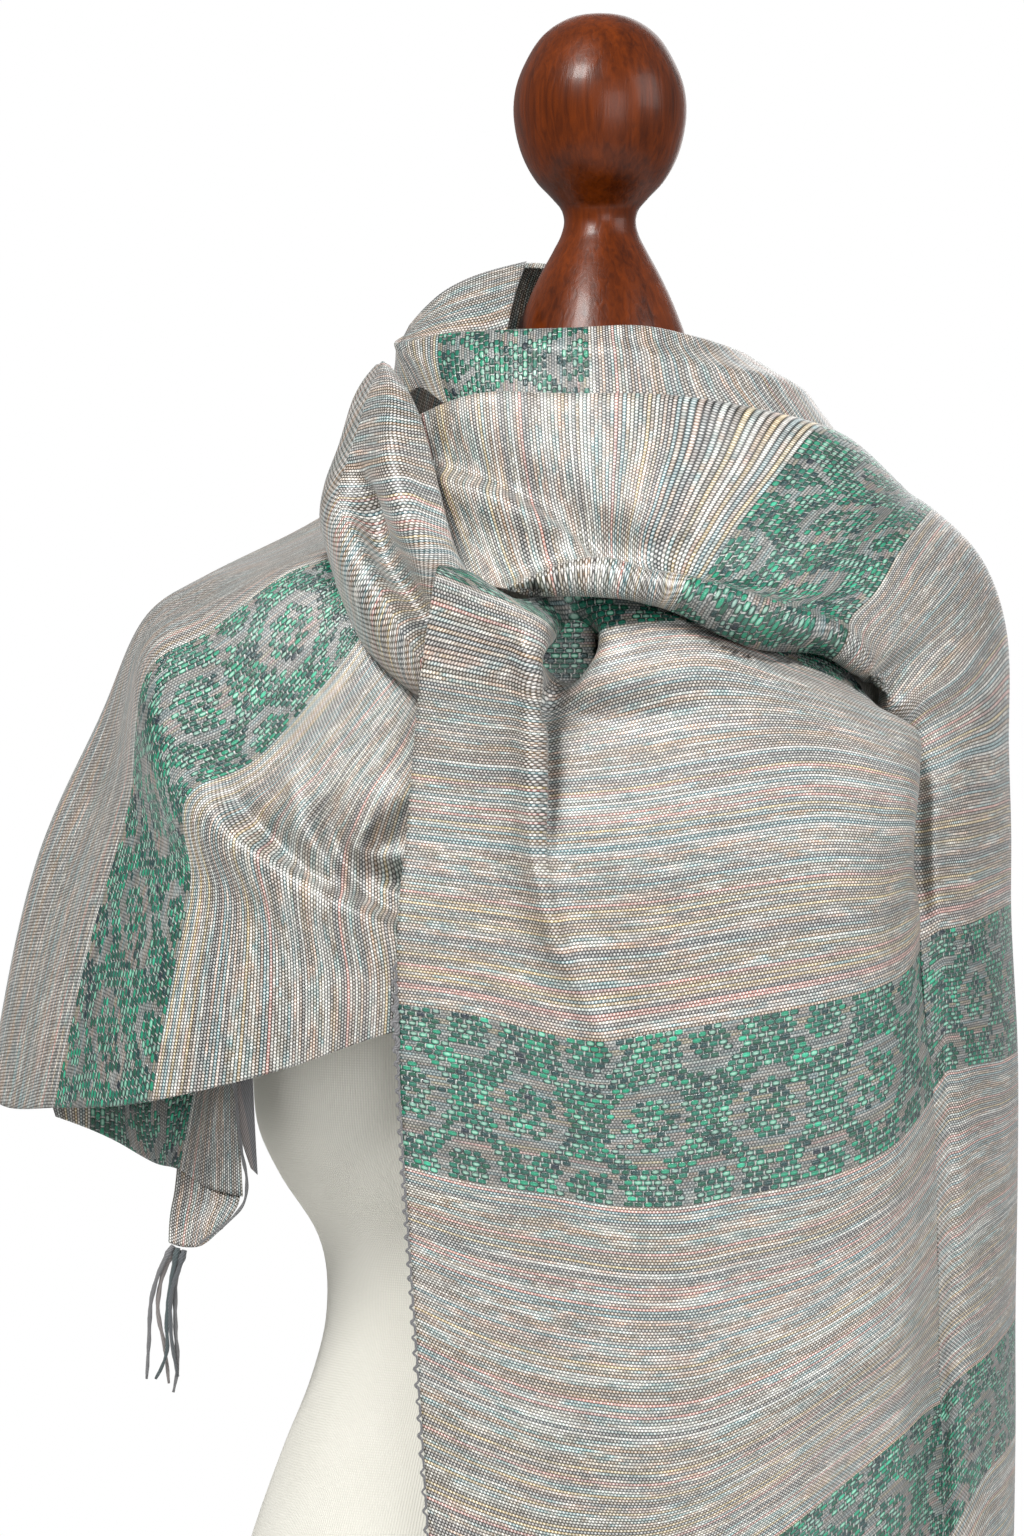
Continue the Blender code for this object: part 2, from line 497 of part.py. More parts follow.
def fringe(name, edge, look_name, length, lean=0.0, thick=2.0):
    """Backing strip along an edge, with a tapered three-part strand grown from every second cell."""
    edge = np.asarray(edge, float)
    runs = np.concatenate(([0.0], np.cumsum(np.linalg.norm(np.diff(edge, axis=0), axis=1))))
    strands = max(2, int(runs[-1] / FRINGE_PITCH))
    cells = 2 * strands + 1
    stations = np.linspace(0.0, runs[-1], cells + 1)
    line = spline(edge, runs, stations)
    ahead = np.gradient(line, axis=0)
    ahead /= np.linalg.norm(ahead, axis=1)[:, None]
    side = np.cross(ahead, (0.0, 0.0, 1.0))
    side /= np.linalg.norm(side, axis=1)[:, None]
    vertices = []
    faces = []
    for k in range(cells + 1):
        for out, drop in ((0.5, 0.0), (-0.5, 0.0), (-0.5, -2.2), (0.5, -2.2)):
            vertices.append(line[k] + side[k] * out * thick + np.array((0.0, 0.0, drop)))
    for k in range(cells):
        a = 4 * k
        b = a + 4
        faces.append((a, b, b + 1, a + 1))
        faces.append((a + 1, b + 1, b + 2, a + 2))
        faces.append((b, a, a + 3, b + 3))
        floor_face = (a + 2, b + 2, b + 3, a + 3)
        if k % 2 == 0:
            faces.append(floor_face)
            continue
        centre = (line[k] + line[k + 1]) / 2.0
        along = (line[k + 1] - line[k]) / np.linalg.norm(line[k + 1] - line[k])
        out = side[k]
        number = k // 2
        sway = 3.0 * sin(number * 2.4) + lean
        swing = 2.5 * cos(number * 1.7)
        ring = floor_face
        for part, width in ((0.12, 0.62), (0.55, 0.50), (1.0, 0.30)):
            middle = centre + np.array((0.0, 0.0, -2.2 - part * length))
            middle = middle + along * sway * part**2 + out * swing * part**2
            half = STRAND * width
            start = len(vertices)
            for a_side, o_side in ((-1, -1), (1, -1), (1, 1), (-1, 1)):
                vertices.append(middle + along * half * a_side + out * half * o_side)
            new = (start, start + 1, start + 2, start + 3)
            for m in range(4):
                n = (m + 1) % 4
                faces.append((ring[m], ring[n], new[n], new[m]))
            ring = new
        faces.append(ring)
    faces.append((0, 1, 2, 3))
    end = 4 * cells
    faces.append((end + 3, end + 2, end + 1, end))
    made = add_object(name, vertices, faces, look_name)
    shape = bmesh.new()
    shape.from_mesh(made.data)
    bmesh.ops.recalc_face_normals(shape, faces=shape.faces)
    shape.to_mesh(made.data)
    shape.free()
    return made


# Stand: base, pole, dress form and finial, parted by a hair's breadth where they meet.
turned("stand_base", BASE_PROFILE, "wood_dark", 40)
bpy.ops.mesh.primitive_cylinder_add(
    vertices=24, radius=POLE_RADIUS * MM, depth=(TORSO_BOTTOM - BASE_HEIGHT - 2 * GAP) * MM,
    location=(0.0, 0.0, (TORSO_BOTTOM + BASE_HEIGHT) / 2.0 * MM))
pole = bpy.context.object
pole.name = "stand_pole"
pole.data.materials.append(look("wood_dark"))
for held in list(pole.users_collection):
    held.objects.unlink(pole)
scarf_collection.objects.link(pole)
build_torso()
turned("neck_finial", FINIAL_PROFILE, "wood_dark", 28)

# Cloth stretches, from the form outward.
torso_rings = torso_grid(36)
torso_layer = Layer(np.concatenate((torso_rings, torso_rings[:, :1]), axis=1))
wrap = Layer(cloth_grid(SHOULDER_WRAP, 40, 14), flip=True)
drape = Layer(cloth_grid(RIGHT_DRAPE, 40, 17), flip=True)
front = Layer(cloth_grid(FRONT_PANEL, 26, 20), flip=True)
loop = Layer(cloth_grid(KNOT_LOOP, 16, 12), flip=True)
collar = Layer(cloth_grid(COLLAR, 34, 6, ring=True), ring=True)
tail = Layer(cloth_grid(TAIL, 9, 8))
flap = Layer(spline(place([row[1:] for row in COLLAR_FLAP]), (0, 1, 2), np.linspace(0, 2, 5)))

OVER = CLOTH + GAP + FACET


def left_of(x):
    """Test that keeps the points to the viewer's left of an upright plane."""
    return lambda point: point[0] < x


def right_of(x):
    """Test that keeps the points to the viewer's right of an upright plane."""
    return lambda point: point[0] > x


def before(y):
    """Test that keeps the points nearer to the viewer than an upright plane."""
    return lambda point: point[1] < y


wrap.lift_over(torso_layer, OVER + 1.0)
tail.lift_over(torso_layer, OVER)
tail.stay_behind(wrap, OVER)
collar.lift_over(torso_layer, OVER)
collar.lift_over(wrap, OVER)
drape.lift_over(torso_layer, OVER)
drape.lift_over(wrap, OVER + 1.0)
drape.lift_over(collar, OVER, right_of(70.0))
front.lift_over(torso_layer, OVER)
loop.lift_over(wrap, OVER)
loop.lift_over(collar, OVER)
loop.stay_behind(front, OVER)
front.stay_behind(drape, OVER, lambda point: -8.0 < point[0] < 113.0 and point[2] > 736.0)
drape.stay_behind(loop, OVER, left_of(-50.0))
drape.stay_behind(front, OVER, left_of(-28.0))
wrap.stay_behind(loop, OVER, before(0.0))
wrap.stay_behind(front, OVER, before(0.0))
wrap.stay_behind(drape, OVER, before(0.0))

# Where one stretch rests on another.
CONTACT = CLOTH + GAP
wrap.seat(torso_layer, (0.0, 118.0, 735.0), CONTACT + 0.2, 60.0)
loop.seat(wrap, (-112.0, -72.0, 798.0), GAP + 0.5, 12.0)
front.seat(loop, (-62.0, -136.0, 768.0), CONTACT + 1.7, 16.0)
collar.seat(wrap, (0.0, 88.0, 850.0), CONTACT, 30.0)
flap.seat(collar, (-56.0, -38.0, 897.0), GAP, 14.0)
tail.seat(wrap, (-205.0, -20.0, 610.0), CONTACT, 25.0)
drape.seat(collar, (70.0, -70.0, 850.0), CONTACT + 0.9, 12.0)

wrap.build("shoulder_wrap", "silk_stripe")
drape.build("right_drape", "silk_drape")
front.build("front_panel", "silk_front")
loop.build("knot_loop", "silk_loop")
collar.build("collar", "silk_collar")
tail.build("tail", "silk_tail")
flap.build("collar_flap", "silk_collar")

# Fringes below both ends of the cloth. The tail's points are (across, height, depth).
DROP = np.array((0.0, 0.8, -0.9))
fringe("front_fringe", front.grid[-1, :-1] + DROP, "fringe_grey", FRINGE)
fringe("side_fringe", drape.grid[-1, 4:] + DROP, "fringe_grey", FRINGE)
TAIL_CORNER = (
    (-189, 493, -62), (-184, 489, -62), (-178, 488, -63), (-172, 490, -66),
)
fringe("tail_fringe", place(TAIL_CORNER) + DROP, "fringe_grey", 58.0, lean=-14.0)
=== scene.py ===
import bpy
import numpy as np
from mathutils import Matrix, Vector


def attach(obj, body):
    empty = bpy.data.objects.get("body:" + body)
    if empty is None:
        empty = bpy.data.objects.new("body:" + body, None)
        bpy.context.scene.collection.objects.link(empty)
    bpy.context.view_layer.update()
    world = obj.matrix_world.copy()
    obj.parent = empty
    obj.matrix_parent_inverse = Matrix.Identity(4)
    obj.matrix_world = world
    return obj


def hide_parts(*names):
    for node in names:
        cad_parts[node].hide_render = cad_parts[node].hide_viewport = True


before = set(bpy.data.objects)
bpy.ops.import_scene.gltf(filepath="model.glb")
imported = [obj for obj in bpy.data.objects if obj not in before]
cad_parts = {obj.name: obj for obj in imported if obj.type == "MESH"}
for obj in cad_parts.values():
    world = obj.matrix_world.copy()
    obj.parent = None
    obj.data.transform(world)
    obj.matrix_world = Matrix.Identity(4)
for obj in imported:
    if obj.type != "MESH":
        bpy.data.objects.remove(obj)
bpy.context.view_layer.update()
MM = 0.001

# View, light and floor. The camera stands level in front of the chest, 2.4 m away. One large
# soft lamp lights from the upper left and a weaker one fills from the front. Two more light
# the right side and the back. The floor is a pale disc.
VIEW_DISTANCE = 2400.0
EYE_X = -39.6
EYE_Z = 703.9
FLOOR_GAP = 0.0005


def area_lamp(name, place_at, aim, size, power, colour):
    """Square soft lamp, turned so that it looks from its place to the point it lights."""
    lamp = bpy.data.lights.new(name, "AREA")
    lamp.size = size
    lamp.energy = power
    lamp.color = colour
    stand = bpy.data.objects.new(name, lamp)
    stand.location = place_at
    stand.rotation_euler = (Vector(aim) - Vector(place_at)).to_track_quat("-Z", "Y").to_euler()
    bpy.context.scene.collection.objects.link(stand)


camera = bpy.data.objects.new("camera", bpy.data.cameras.new("camera"))
camera.location = (EYE_X * MM, -VIEW_DISTANCE * MM, EYE_Z * MM)
camera.rotation_euler = (np.pi / 2, 0.0, 0.0)
camera.data.lens = 125.0
camera.data.sensor_width = 36.0
bpy.context.scene.collection.objects.link(camera)
bpy.context.scene.camera = camera
bpy.context.scene.view_settings.view_transform = "Standard"
area_lamp("key_lamp", (-1.0, -1.6, 2.6), (0.0, 0.0, 0.72), 0.7, 74.0, (1.0, 0.99, 0.97))
area_lamp("fill_lamp", (0.9, -2.7, 1.1), (0.1, 0.0, 0.65), 1.4, 28.0, (0.97, 0.98, 1.0))
area_lamp("side_lamp", (1.8, -0.8, 1.6), (0.0, 0.0, 0.70), 1.2, 19.0, (1.0, 1.0, 1.0))
area_lamp("back_lamp", (0.4, 2.4, 1.6), (0.0, 0.0, 0.65), 1.6, 14.0, (1.0, 1.0, 1.0))

world = bpy.data.worlds.new("white_room")
bpy.context.scene.world = world
world.use_nodes = True
air = world.node_tree
air.nodes.clear()
room_out = air.nodes.new("ShaderNodeOutputWorld")
room_mix = air.nodes.new("ShaderNodeMixShader")
room_light = air.nodes.new("ShaderNodeBackground")
room_light.inputs["Color"].default_value = (1.0, 1.0, 1.0, 1.0)
room_light.inputs["Strength"].default_value = 0.32
room_white = air.nodes.new("ShaderNodeBackground")
room_white.inputs["Color"].default_value = (1.0, 1.0, 1.0, 1.0)
room_white.inputs["Strength"].default_value = 1.0
room_rays = air.nodes.new("ShaderNodeLightPath")
air.links.new(room_rays.outputs["Is Camera Ray"], room_mix.inputs["Fac"])
air.links.new(room_light.outputs[0], room_mix.inputs[1])
air.links.new(room_white.outputs[0], room_mix.inputs[2])
air.links.new(room_mix.outputs[0], room_out.inputs["Surface"])


def floor_disc(radius, sides):
    """Flat disc: points at even turns round a circle, joined to its middle."""
    turn = np.linspace(0.0, 2.0 * np.pi, sides, endpoint=False)
    rim = np.stack((radius * np.cos(turn), radius * np.sin(turn), 0.0 * turn - FLOOR_GAP), axis=1)
    mesh = bpy.data.meshes.new("studio_floor")
    mesh.from_pydata(rim.tolist(), [], [list(range(sides))])
    made = bpy.data.objects.new("studio_floor", mesh)
    bpy.context.scene.collection.objects.link(made)
    return made


floor_look = bpy.data.materials.new("floor_paper")
floor_look.use_nodes = True
floor_shader = floor_look.node_tree.nodes["Principled BSDF"]
floor_shader.inputs["Base Color"].default_value = (0.82, 0.82, 0.81, 1.0)
floor_shader.inputs["Roughness"].default_value = 0.9
studio_floor = floor_disc(1.6, 96)
studio_floor.data.materials.append(floor_look)

# Dress form. A smooth torso without arms or head, of stiff board covered with cream jersey
# that has fine upright ribs. It stands on its pole and carries the whole cloth.
# Sections: height, half width, depth in front, depth behind.
TORSO_SECTIONS = (
    (240, 170, 98, 112), (270, 175, 100, 116), (310, 170, 100, 112), (358, 157, 97, 102),
    (400, 142, 91, 92), (430, 130, 86, 85), (460, 123, 83, 82), (495, 127, 88, 86),
    (522, 144, 100, 93), (541, 153, 108, 96), (565, 156, 116, 100), (600, 156, 120, 104),
    (640, 155, 117, 108), (680, 155, 106, 110), (720, 155, 92, 110), (750, 155, 80, 104),
    (772, 148, 68, 94), (788, 130, 60, 82), (802, 104, 54, 72), (818, 76, 52, 64),
    (840, 60, 50, 57), (872, 52, 46, 54),
)
# The neck is moved back by a shift that grows from its start over the blend's height. The
# girth is the width of the jersey round the form. Its ribs and stitches are in metres.
NECK_SHIFT = 4.0
NECK_START = 780.0
NECK_BLEND = 60.0
TORSO_GIRTH = 930.0
RIB = 0.0015
STITCH = 0.0011


def spline(values, knots, at):
    """Cubic through the values at the knots, with slopes of the parabola through each three knots."""
    values = np.asarray(values, float)
    knots = np.asarray(knots, float)
    at = np.asarray(at, float)
    steps = np.diff(knots)
    wide = steps.reshape((-1,) + (1,) * (values.ndim - 1))
    secants = np.diff(values, axis=0) / wide
    slopes = np.empty_like(values)
    slopes[1:-1] = (secants[:-1] * wide[1:] + secants[1:] * wide[:-1]) / (wide[1:] + wide[:-1])
    slopes[0] = 1.5 * secants[0] - 0.5 * slopes[1]
    slopes[-1] = 1.5 * secants[-1] - 0.5 * slopes[-2]
    cell = np.clip(np.searchsorted(knots, at, side="right") - 1, 0, len(steps) - 1)
    shape = (-1,) + (1,) * (values.ndim - 1)
    step = steps[cell].reshape(shape)
    t = ((at - knots[cell]) / steps[cell]).reshape(shape)
    return ((2 * t**3 - 3 * t**2 + 1) * values[cell] + (t**3 - 2 * t**2 + t) * step * slopes[cell]
            + (3 * t**2 - 2 * t**3) * values[cell + 1] + (t**3 - t**2) * step * slopes[cell + 1])


def torso_rings(levels, sides):
    """Ovals: across = half width * cos^0.9, depth = own depth * sin^0.9, moved back at the neck."""
    table = np.array(TORSO_SECTIONS, float)
    heights = np.linspace(table[0, 0], table[-1, 0], levels)
    sizes = spline(table[:, 1:], table[:, 0], heights)[:, None, :]
    turn = np.linspace(0.0, 2.0 * np.pi, sides, endpoint=False)[None, :]
    across = sizes[..., 0] * np.abs(np.cos(turn)) ** 0.9 * np.sign(np.cos(turn))
    depth = np.where(np.sin(turn) >= 0.0, sizes[..., 2], sizes[..., 1])
    deep = depth * np.abs(np.sin(turn)) ** 0.9 * np.sign(np.sin(turn))
    back = NECK_SHIFT * np.clip((heights - NECK_START) / NECK_BLEND, 0.0, 1.0)[:, None]
    return np.stack((across, deep + back, heights[:, None] + 0.0 * across), axis=-1)


def quads(rows, columns, flip=False):
    """Four corners of every cell of a grid, in turn round it, or the other way round."""
    index = np.arange(rows * columns).reshape(rows, columns)
    cells = np.stack((index[:-1, :-1], index[:-1, 1:], index[1:, 1:], index[1:, :-1]), axis=-1)
    cells = cells.reshape(-1, 4)
    return cells[:, ::-1] if flip else cells


def piece(name, points, faces, look, pattern=None):
    """Mesh object in metres, smooth, with the pattern's places in a UV map named cloth."""
    mesh = bpy.data.meshes.new(name)
    mesh.from_pydata((np.asarray(points, float) * MM).tolist(), [], [list(f) for f in faces])
    mesh.polygons.foreach_set("use_smooth", np.ones(len(mesh.polygons), bool))
    if pattern is not None:
        corners = np.empty(len(mesh.loops), int)
        mesh.loops.foreach_get("vertex_index", corners)
        layer = mesh.uv_layers.new(name="cloth")
        layer.data.foreach_set("uv", (np.asarray(pattern, float)[corners] * MM).ravel())
    mesh.materials.append(look)
    mesh.update()
    made = bpy.data.objects.new(name, mesh)
    bpy.context.scene.collection.objects.link(made)
    return made


def close_seam(made):
    """Join the points that meet along the seam of a piece that goes all round."""
    weld = made.modifiers.new("closed_seam", "WELD")
    weld.merge_threshold = 0.00001


def paint(red, green, blue):
    """Colour for a socket from red, green and blue as on a screen, 0 to 255."""
    screen = np.array((red, green, blue), float) / 255.0
    light = np.where(screen <= 0.04045, screen / 12.92, ((screen + 0.055) / 1.055) ** 2.4)
    return (float(light[0]), float(light[1]), float(light[2]), 1.0)


def finish(name, roughness, **values):
    """New material: its tree and its Principled shader, with plain values on its sockets."""
    made = bpy.data.materials.new(name)
    made.use_nodes = True
    shader = made.node_tree.nodes["Principled BSDF"]
    shader.inputs["Roughness"].default_value = roughness
    for socket, value in values.items():
        shader.inputs[socket.replace("_", " ")].default_value = value
    return made, made.node_tree, shader


def math(tree, operation, a, b=None, c=None, clamp=False):
    """Math node: each of a, b and c is a socket or a number. Gives its output socket."""
    made = tree.nodes.new("ShaderNodeMath")
    made.operation = operation
    made.use_clamp = clamp
    for k, value in enumerate((a, b, c)):
        if value is None:
            continue
        if isinstance(value, (int, float)):
            made.inputs[k].default_value = value
        else:
            tree.links.new(value, made.inputs[k])
    return made.outputs[0]


def blend(tree, share, first, second, way="MIX"):
    """Mix of two colours by a share. Each is a socket, a number or a colour."""
    made = tree.nodes.new("ShaderNodeMix")
    made.data_type = "RGBA"
    made.blend_type = way
    for socket, value in ((made.inputs[0], share), (made.inputs[6], first), (made.inputs[7], second)):
        if isinstance(value, (int, float, tuple)):
            socket.default_value = value
        else:
            tree.links.new(value, socket)
    return made.outputs[2]


def relief(tree, shader, height, depth):
    """Bump node from a height to the shader's normal; depth is the height of 1, in metres."""
    made = tree.nodes.new("ShaderNodeBump")
    made.inputs["Strength"].default_value = 1.0
    made.inputs["Distance"].default_value = depth
    tree.links.new(height, made.inputs["Height"])
    tree.links.new(made.outputs["Normal"], shader.inputs["Normal"])


def cloth_uv(tree):
    """Places of a pattern on its piece, in metres: u across it and v along it."""
    where = tree.nodes.new("ShaderNodeUVMap")
    where.uv_map = "cloth"
    return where.outputs[0]


def jersey():
    """Cream jersey: ribs 1.5 mm apart round the form, small stitches up each rib, faint clouds."""
    look, tree, shader = finish("jersey_cream", 0.85, Sheen_Weight=0.15)
    parts = tree.nodes.new("ShaderNodeSeparateXYZ")
    tree.links.new(cloth_uv(tree), parts.inputs[0])
    ribs = math(tree, "COSINE", math(tree, "MULTIPLY", parts.outputs[0], 2 * np.pi / RIB))
    ribs = math(tree, "MULTIPLY_ADD", ribs, 0.5, 0.5)
    knits = math(tree, "COSINE", math(tree, "MULTIPLY", parts.outputs[1], 2 * np.pi / STITCH))
    height = math(tree, "MULTIPLY_ADD", math(tree, "MULTIPLY", knits, ribs), 0.22, ribs)
    place_at = tree.nodes.new("ShaderNodeTexCoord")
    clouds = tree.nodes.new("ShaderNodeTexNoise")
    clouds.inputs["Scale"].default_value = 18.0
    clouds.inputs["Detail"].default_value = 3.0
    tree.links.new(place_at.outputs["Object"], clouds.inputs["Vector"])
    base = blend(tree, clouds.outputs["Fac"], paint(227, 225, 214), paint(237, 235, 226))
    shade = math(tree, "MULTIPLY_ADD", ribs, 0.10, 0.90)
    tree.links.new(blend(tree, 1.0, base, shade, "MULTIPLY"), shader.inputs["Base Color"])
    relief(tree, shader, height, 0.00022)
    return look


torso = torso_rings(150, 176)
levels, sides = torso.shape[:2]
torso_seam = np.concatenate((torso, torso[:, :1]), axis=1)
turn_run = np.broadcast_to(np.linspace(0.0, TORSO_GIRTH, sides + 1), (levels, sides + 1))
torso_uv = np.stack((turn_run, torso_seam[..., 2]), axis=-1)
torso_faces = quads(levels, sides + 1).tolist()
torso_faces.append(list(range(sides + 1))[::-1])
torso_faces.append([(levels - 1) * (sides + 1) + k for k in range(sides + 1)])
form_torso = piece("dress_form", torso_seam.reshape(-1, 3), torso_faces, jersey(), torso_uv.reshape(-1, 2))
form_torso.data.set_sharp_from_angle(angle=np.radians(50.0))
close_seam(form_torso)
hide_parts("form_torso")
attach(form_torso, "root")

# Stand. A round base and a pole, both turned from dark wood and polished. The pole stands in
# the middle of the base and carries the form's flat underside.
# Profiles: radius, height.
BASE_PROFILE = (
    (0, 28), (28.6, 28), (29.8, 27.5), (30.6, 26.4), (33, 24.5), (40, 23.6), (60, 22.5), (120, 19.5),
    (134, 18.6), (141, 17.4), (146.5, 14.5), (149.6, 9.5), (149.8, 5.5), (148.6, 2.2), (146, 0), (0, 0),
)
POLE_PROFILE = ((0, 239.6), (14, 239.6), (15, 238.6), (15, 29.4), (14, 28.4), (0, 28.4))


def turned(name, profile, sides, look, close=1.2, straight=0):
    """Turned piece: a profile of (radius, height) carried round the upright axis.

    A cubic rounds it, apart from as many of its last steps as are straight."""
    profile = np.array(profile, float)
    run = np.concatenate(([0.0], np.cumsum(np.linalg.norm(np.diff(profile, axis=0), axis=1))))
    fine = np.unique(np.concatenate((run, np.linspace(0.0, run[-1], int(run[-1] / close)))))
    bend = len(profile) - straight
    line = np.stack((np.interp(fine, run, profile[:, 0]), np.interp(fine, run, profile[:, 1])), axis=1)
    if bend > 2:
        soft = fine <= run[bend - 1]
        line[soft] = spline(profile[:bend], run[:bend], fine[soft])
    line[:, 0] = np.maximum(line[:, 0], 0.0)
    turn = np.linspace(0.0, 2.0 * np.pi, sides + 1)[:, None]
    points = np.stack((line[:, 0] * np.cos(turn), line[:, 0] * np.sin(turn),
                       line[:, 1] + 0.0 * turn), axis=-1)
    made = piece(name, points.reshape(-1, 3), quads(sides + 1, len(line)), look)
    close_seam(made)
    made.data.set_sharp_from_angle(angle=np.radians(38.0))
    return made


def node_group(name, takes, gives):
    """New group with sockets of (name, kind): its tree, its input node and its output node."""
    group = bpy.data.node_groups.new(name, "ShaderNodeTree")
    for way, sockets in (("INPUT", takes), ("OUTPUT", gives)):
        for socket, kind in sockets:
            group.interface.new_socket(socket, in_out=way, socket_type="NodeSocket" + kind)
    return group, group.nodes.new("NodeGroupInput"), group.nodes.new("NodeGroupOutput")


def grain_group():
    """Wood grain: long streaks along the turning axis, from noise stretched upright, and fine pores."""
    group, inside, outside = node_group(
        "wood_grain", (("Place", "Vector"), ("Dark", "Color"), ("Warm", "Color")),
        (("Color", "Color"), ("Height", "Float"), ("Wear", "Float")))
    streaks = []
    for stretch, scale, detail in (((9.0, 9.0, 1.3), 5.0, 5.0), ((60.0, 60.0, 3.0), 7.0, 3.0)):
        turn_to = group.nodes.new("ShaderNodeVectorMath")
        turn_to.operation = "MULTIPLY"
        turn_to.inputs[1].default_value = stretch
        group.links.new(inside.outputs["Place"], turn_to.inputs[0])
        noise = group.nodes.new("ShaderNodeTexNoise")
        noise.inputs["Scale"].default_value = scale
        noise.inputs["Detail"].default_value = detail
        noise.inputs["Distortion"].default_value = 0.6
        group.links.new(turn_to.outputs[0], noise.inputs["Vector"])
        streaks.append(noise.outputs["Fac"])
    broad = math(group, "MULTIPLY_ADD", streaks[0], 2.6, -0.8, clamp=True)
    fine = math(group, "MULTIPLY_ADD", streaks[1], 3.0, -1.0, clamp=True)
    share = math(group, "MULTIPLY_ADD", fine, 0.35, math(group, "MULTIPLY", broad, 0.65), clamp=True)
    colour = blend(group, share, inside.outputs["Dark"], inside.outputs["Warm"])
    group.links.new(colour, outside.inputs["Color"])
    group.links.new(fine, outside.inputs["Height"])
    group.links.new(math(group, "MULTIPLY_ADD", broad, 0.10, 0.30), outside.inputs["Wear"])
    return group


wood_grain = grain_group()


def dark_wood(name, dark, warm):
    """Polished wood: the grain's colour and wear under a thin clear coat."""
    look, tree, shader = finish(name, 0.34, Coat_Weight=0.08, Coat_Roughness=0.14)
    shader.inputs["Specular IOR Level"].default_value = 0.22
    place_at = tree.nodes.new("ShaderNodeTexCoord")
    grain = tree.nodes.new("ShaderNodeGroup")
    grain.node_tree = wood_grain
    grain.inputs["Dark"].default_value = dark
    grain.inputs["Warm"].default_value = warm
    tree.links.new(place_at.outputs["Object"], grain.inputs["Place"])
    tree.links.new(grain.outputs["Color"], shader.inputs["Base Color"])
    tree.links.new(grain.outputs["Wear"], shader.inputs["Roughness"])
    relief(tree, shader, grain.outputs["Height"], 0.00006)
    return look


stand_wood = dark_wood("wood_stand", paint(50, 20, 8), paint(112, 58, 26))
stand_base = turned("base_disc", BASE_PROFILE, 144, stand_wood, straight=15)
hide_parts("stand_base")
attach(stand_base, "root")
stand_pole = turned("stand_post", POLE_PROFILE, 56, stand_wood, close=4.0, straight=6)
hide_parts("stand_pole")
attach(stand_pole, "root")

# Finial. It is turned from one block of dark red-brown wood and polished: a flattened ball
# over a thin neck and a flared foot, which caps the form's neck.
FINIAL_PROFILE = (
    (0, 1043.2), (14, 1041), (25, 1034), (33.5, 1021.5), (38, 1009.5), (39, 1001), (38, 990),
    (34.5, 978), (28.5, 967.5), (21.5, 960), (17.2, 954.5), (16.2, 950), (17.4, 944),
    (20.8, 937), (26.5, 926.5), (32.2, 914.5), (36.4, 904), (41.5, 890), (46, 880),
    (48.5, 876.5), (48.5, 872.4), (0, 872.4),
)
finial_wood = dark_wood("wood_finial", paint(38, 8, 0), paint(112, 46, 1))
neck_finial = turned("turned_finial", FINIAL_PROFILE, 96, finial_wood, straight=2)
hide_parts("neck_finial")
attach(neck_finial, "root")

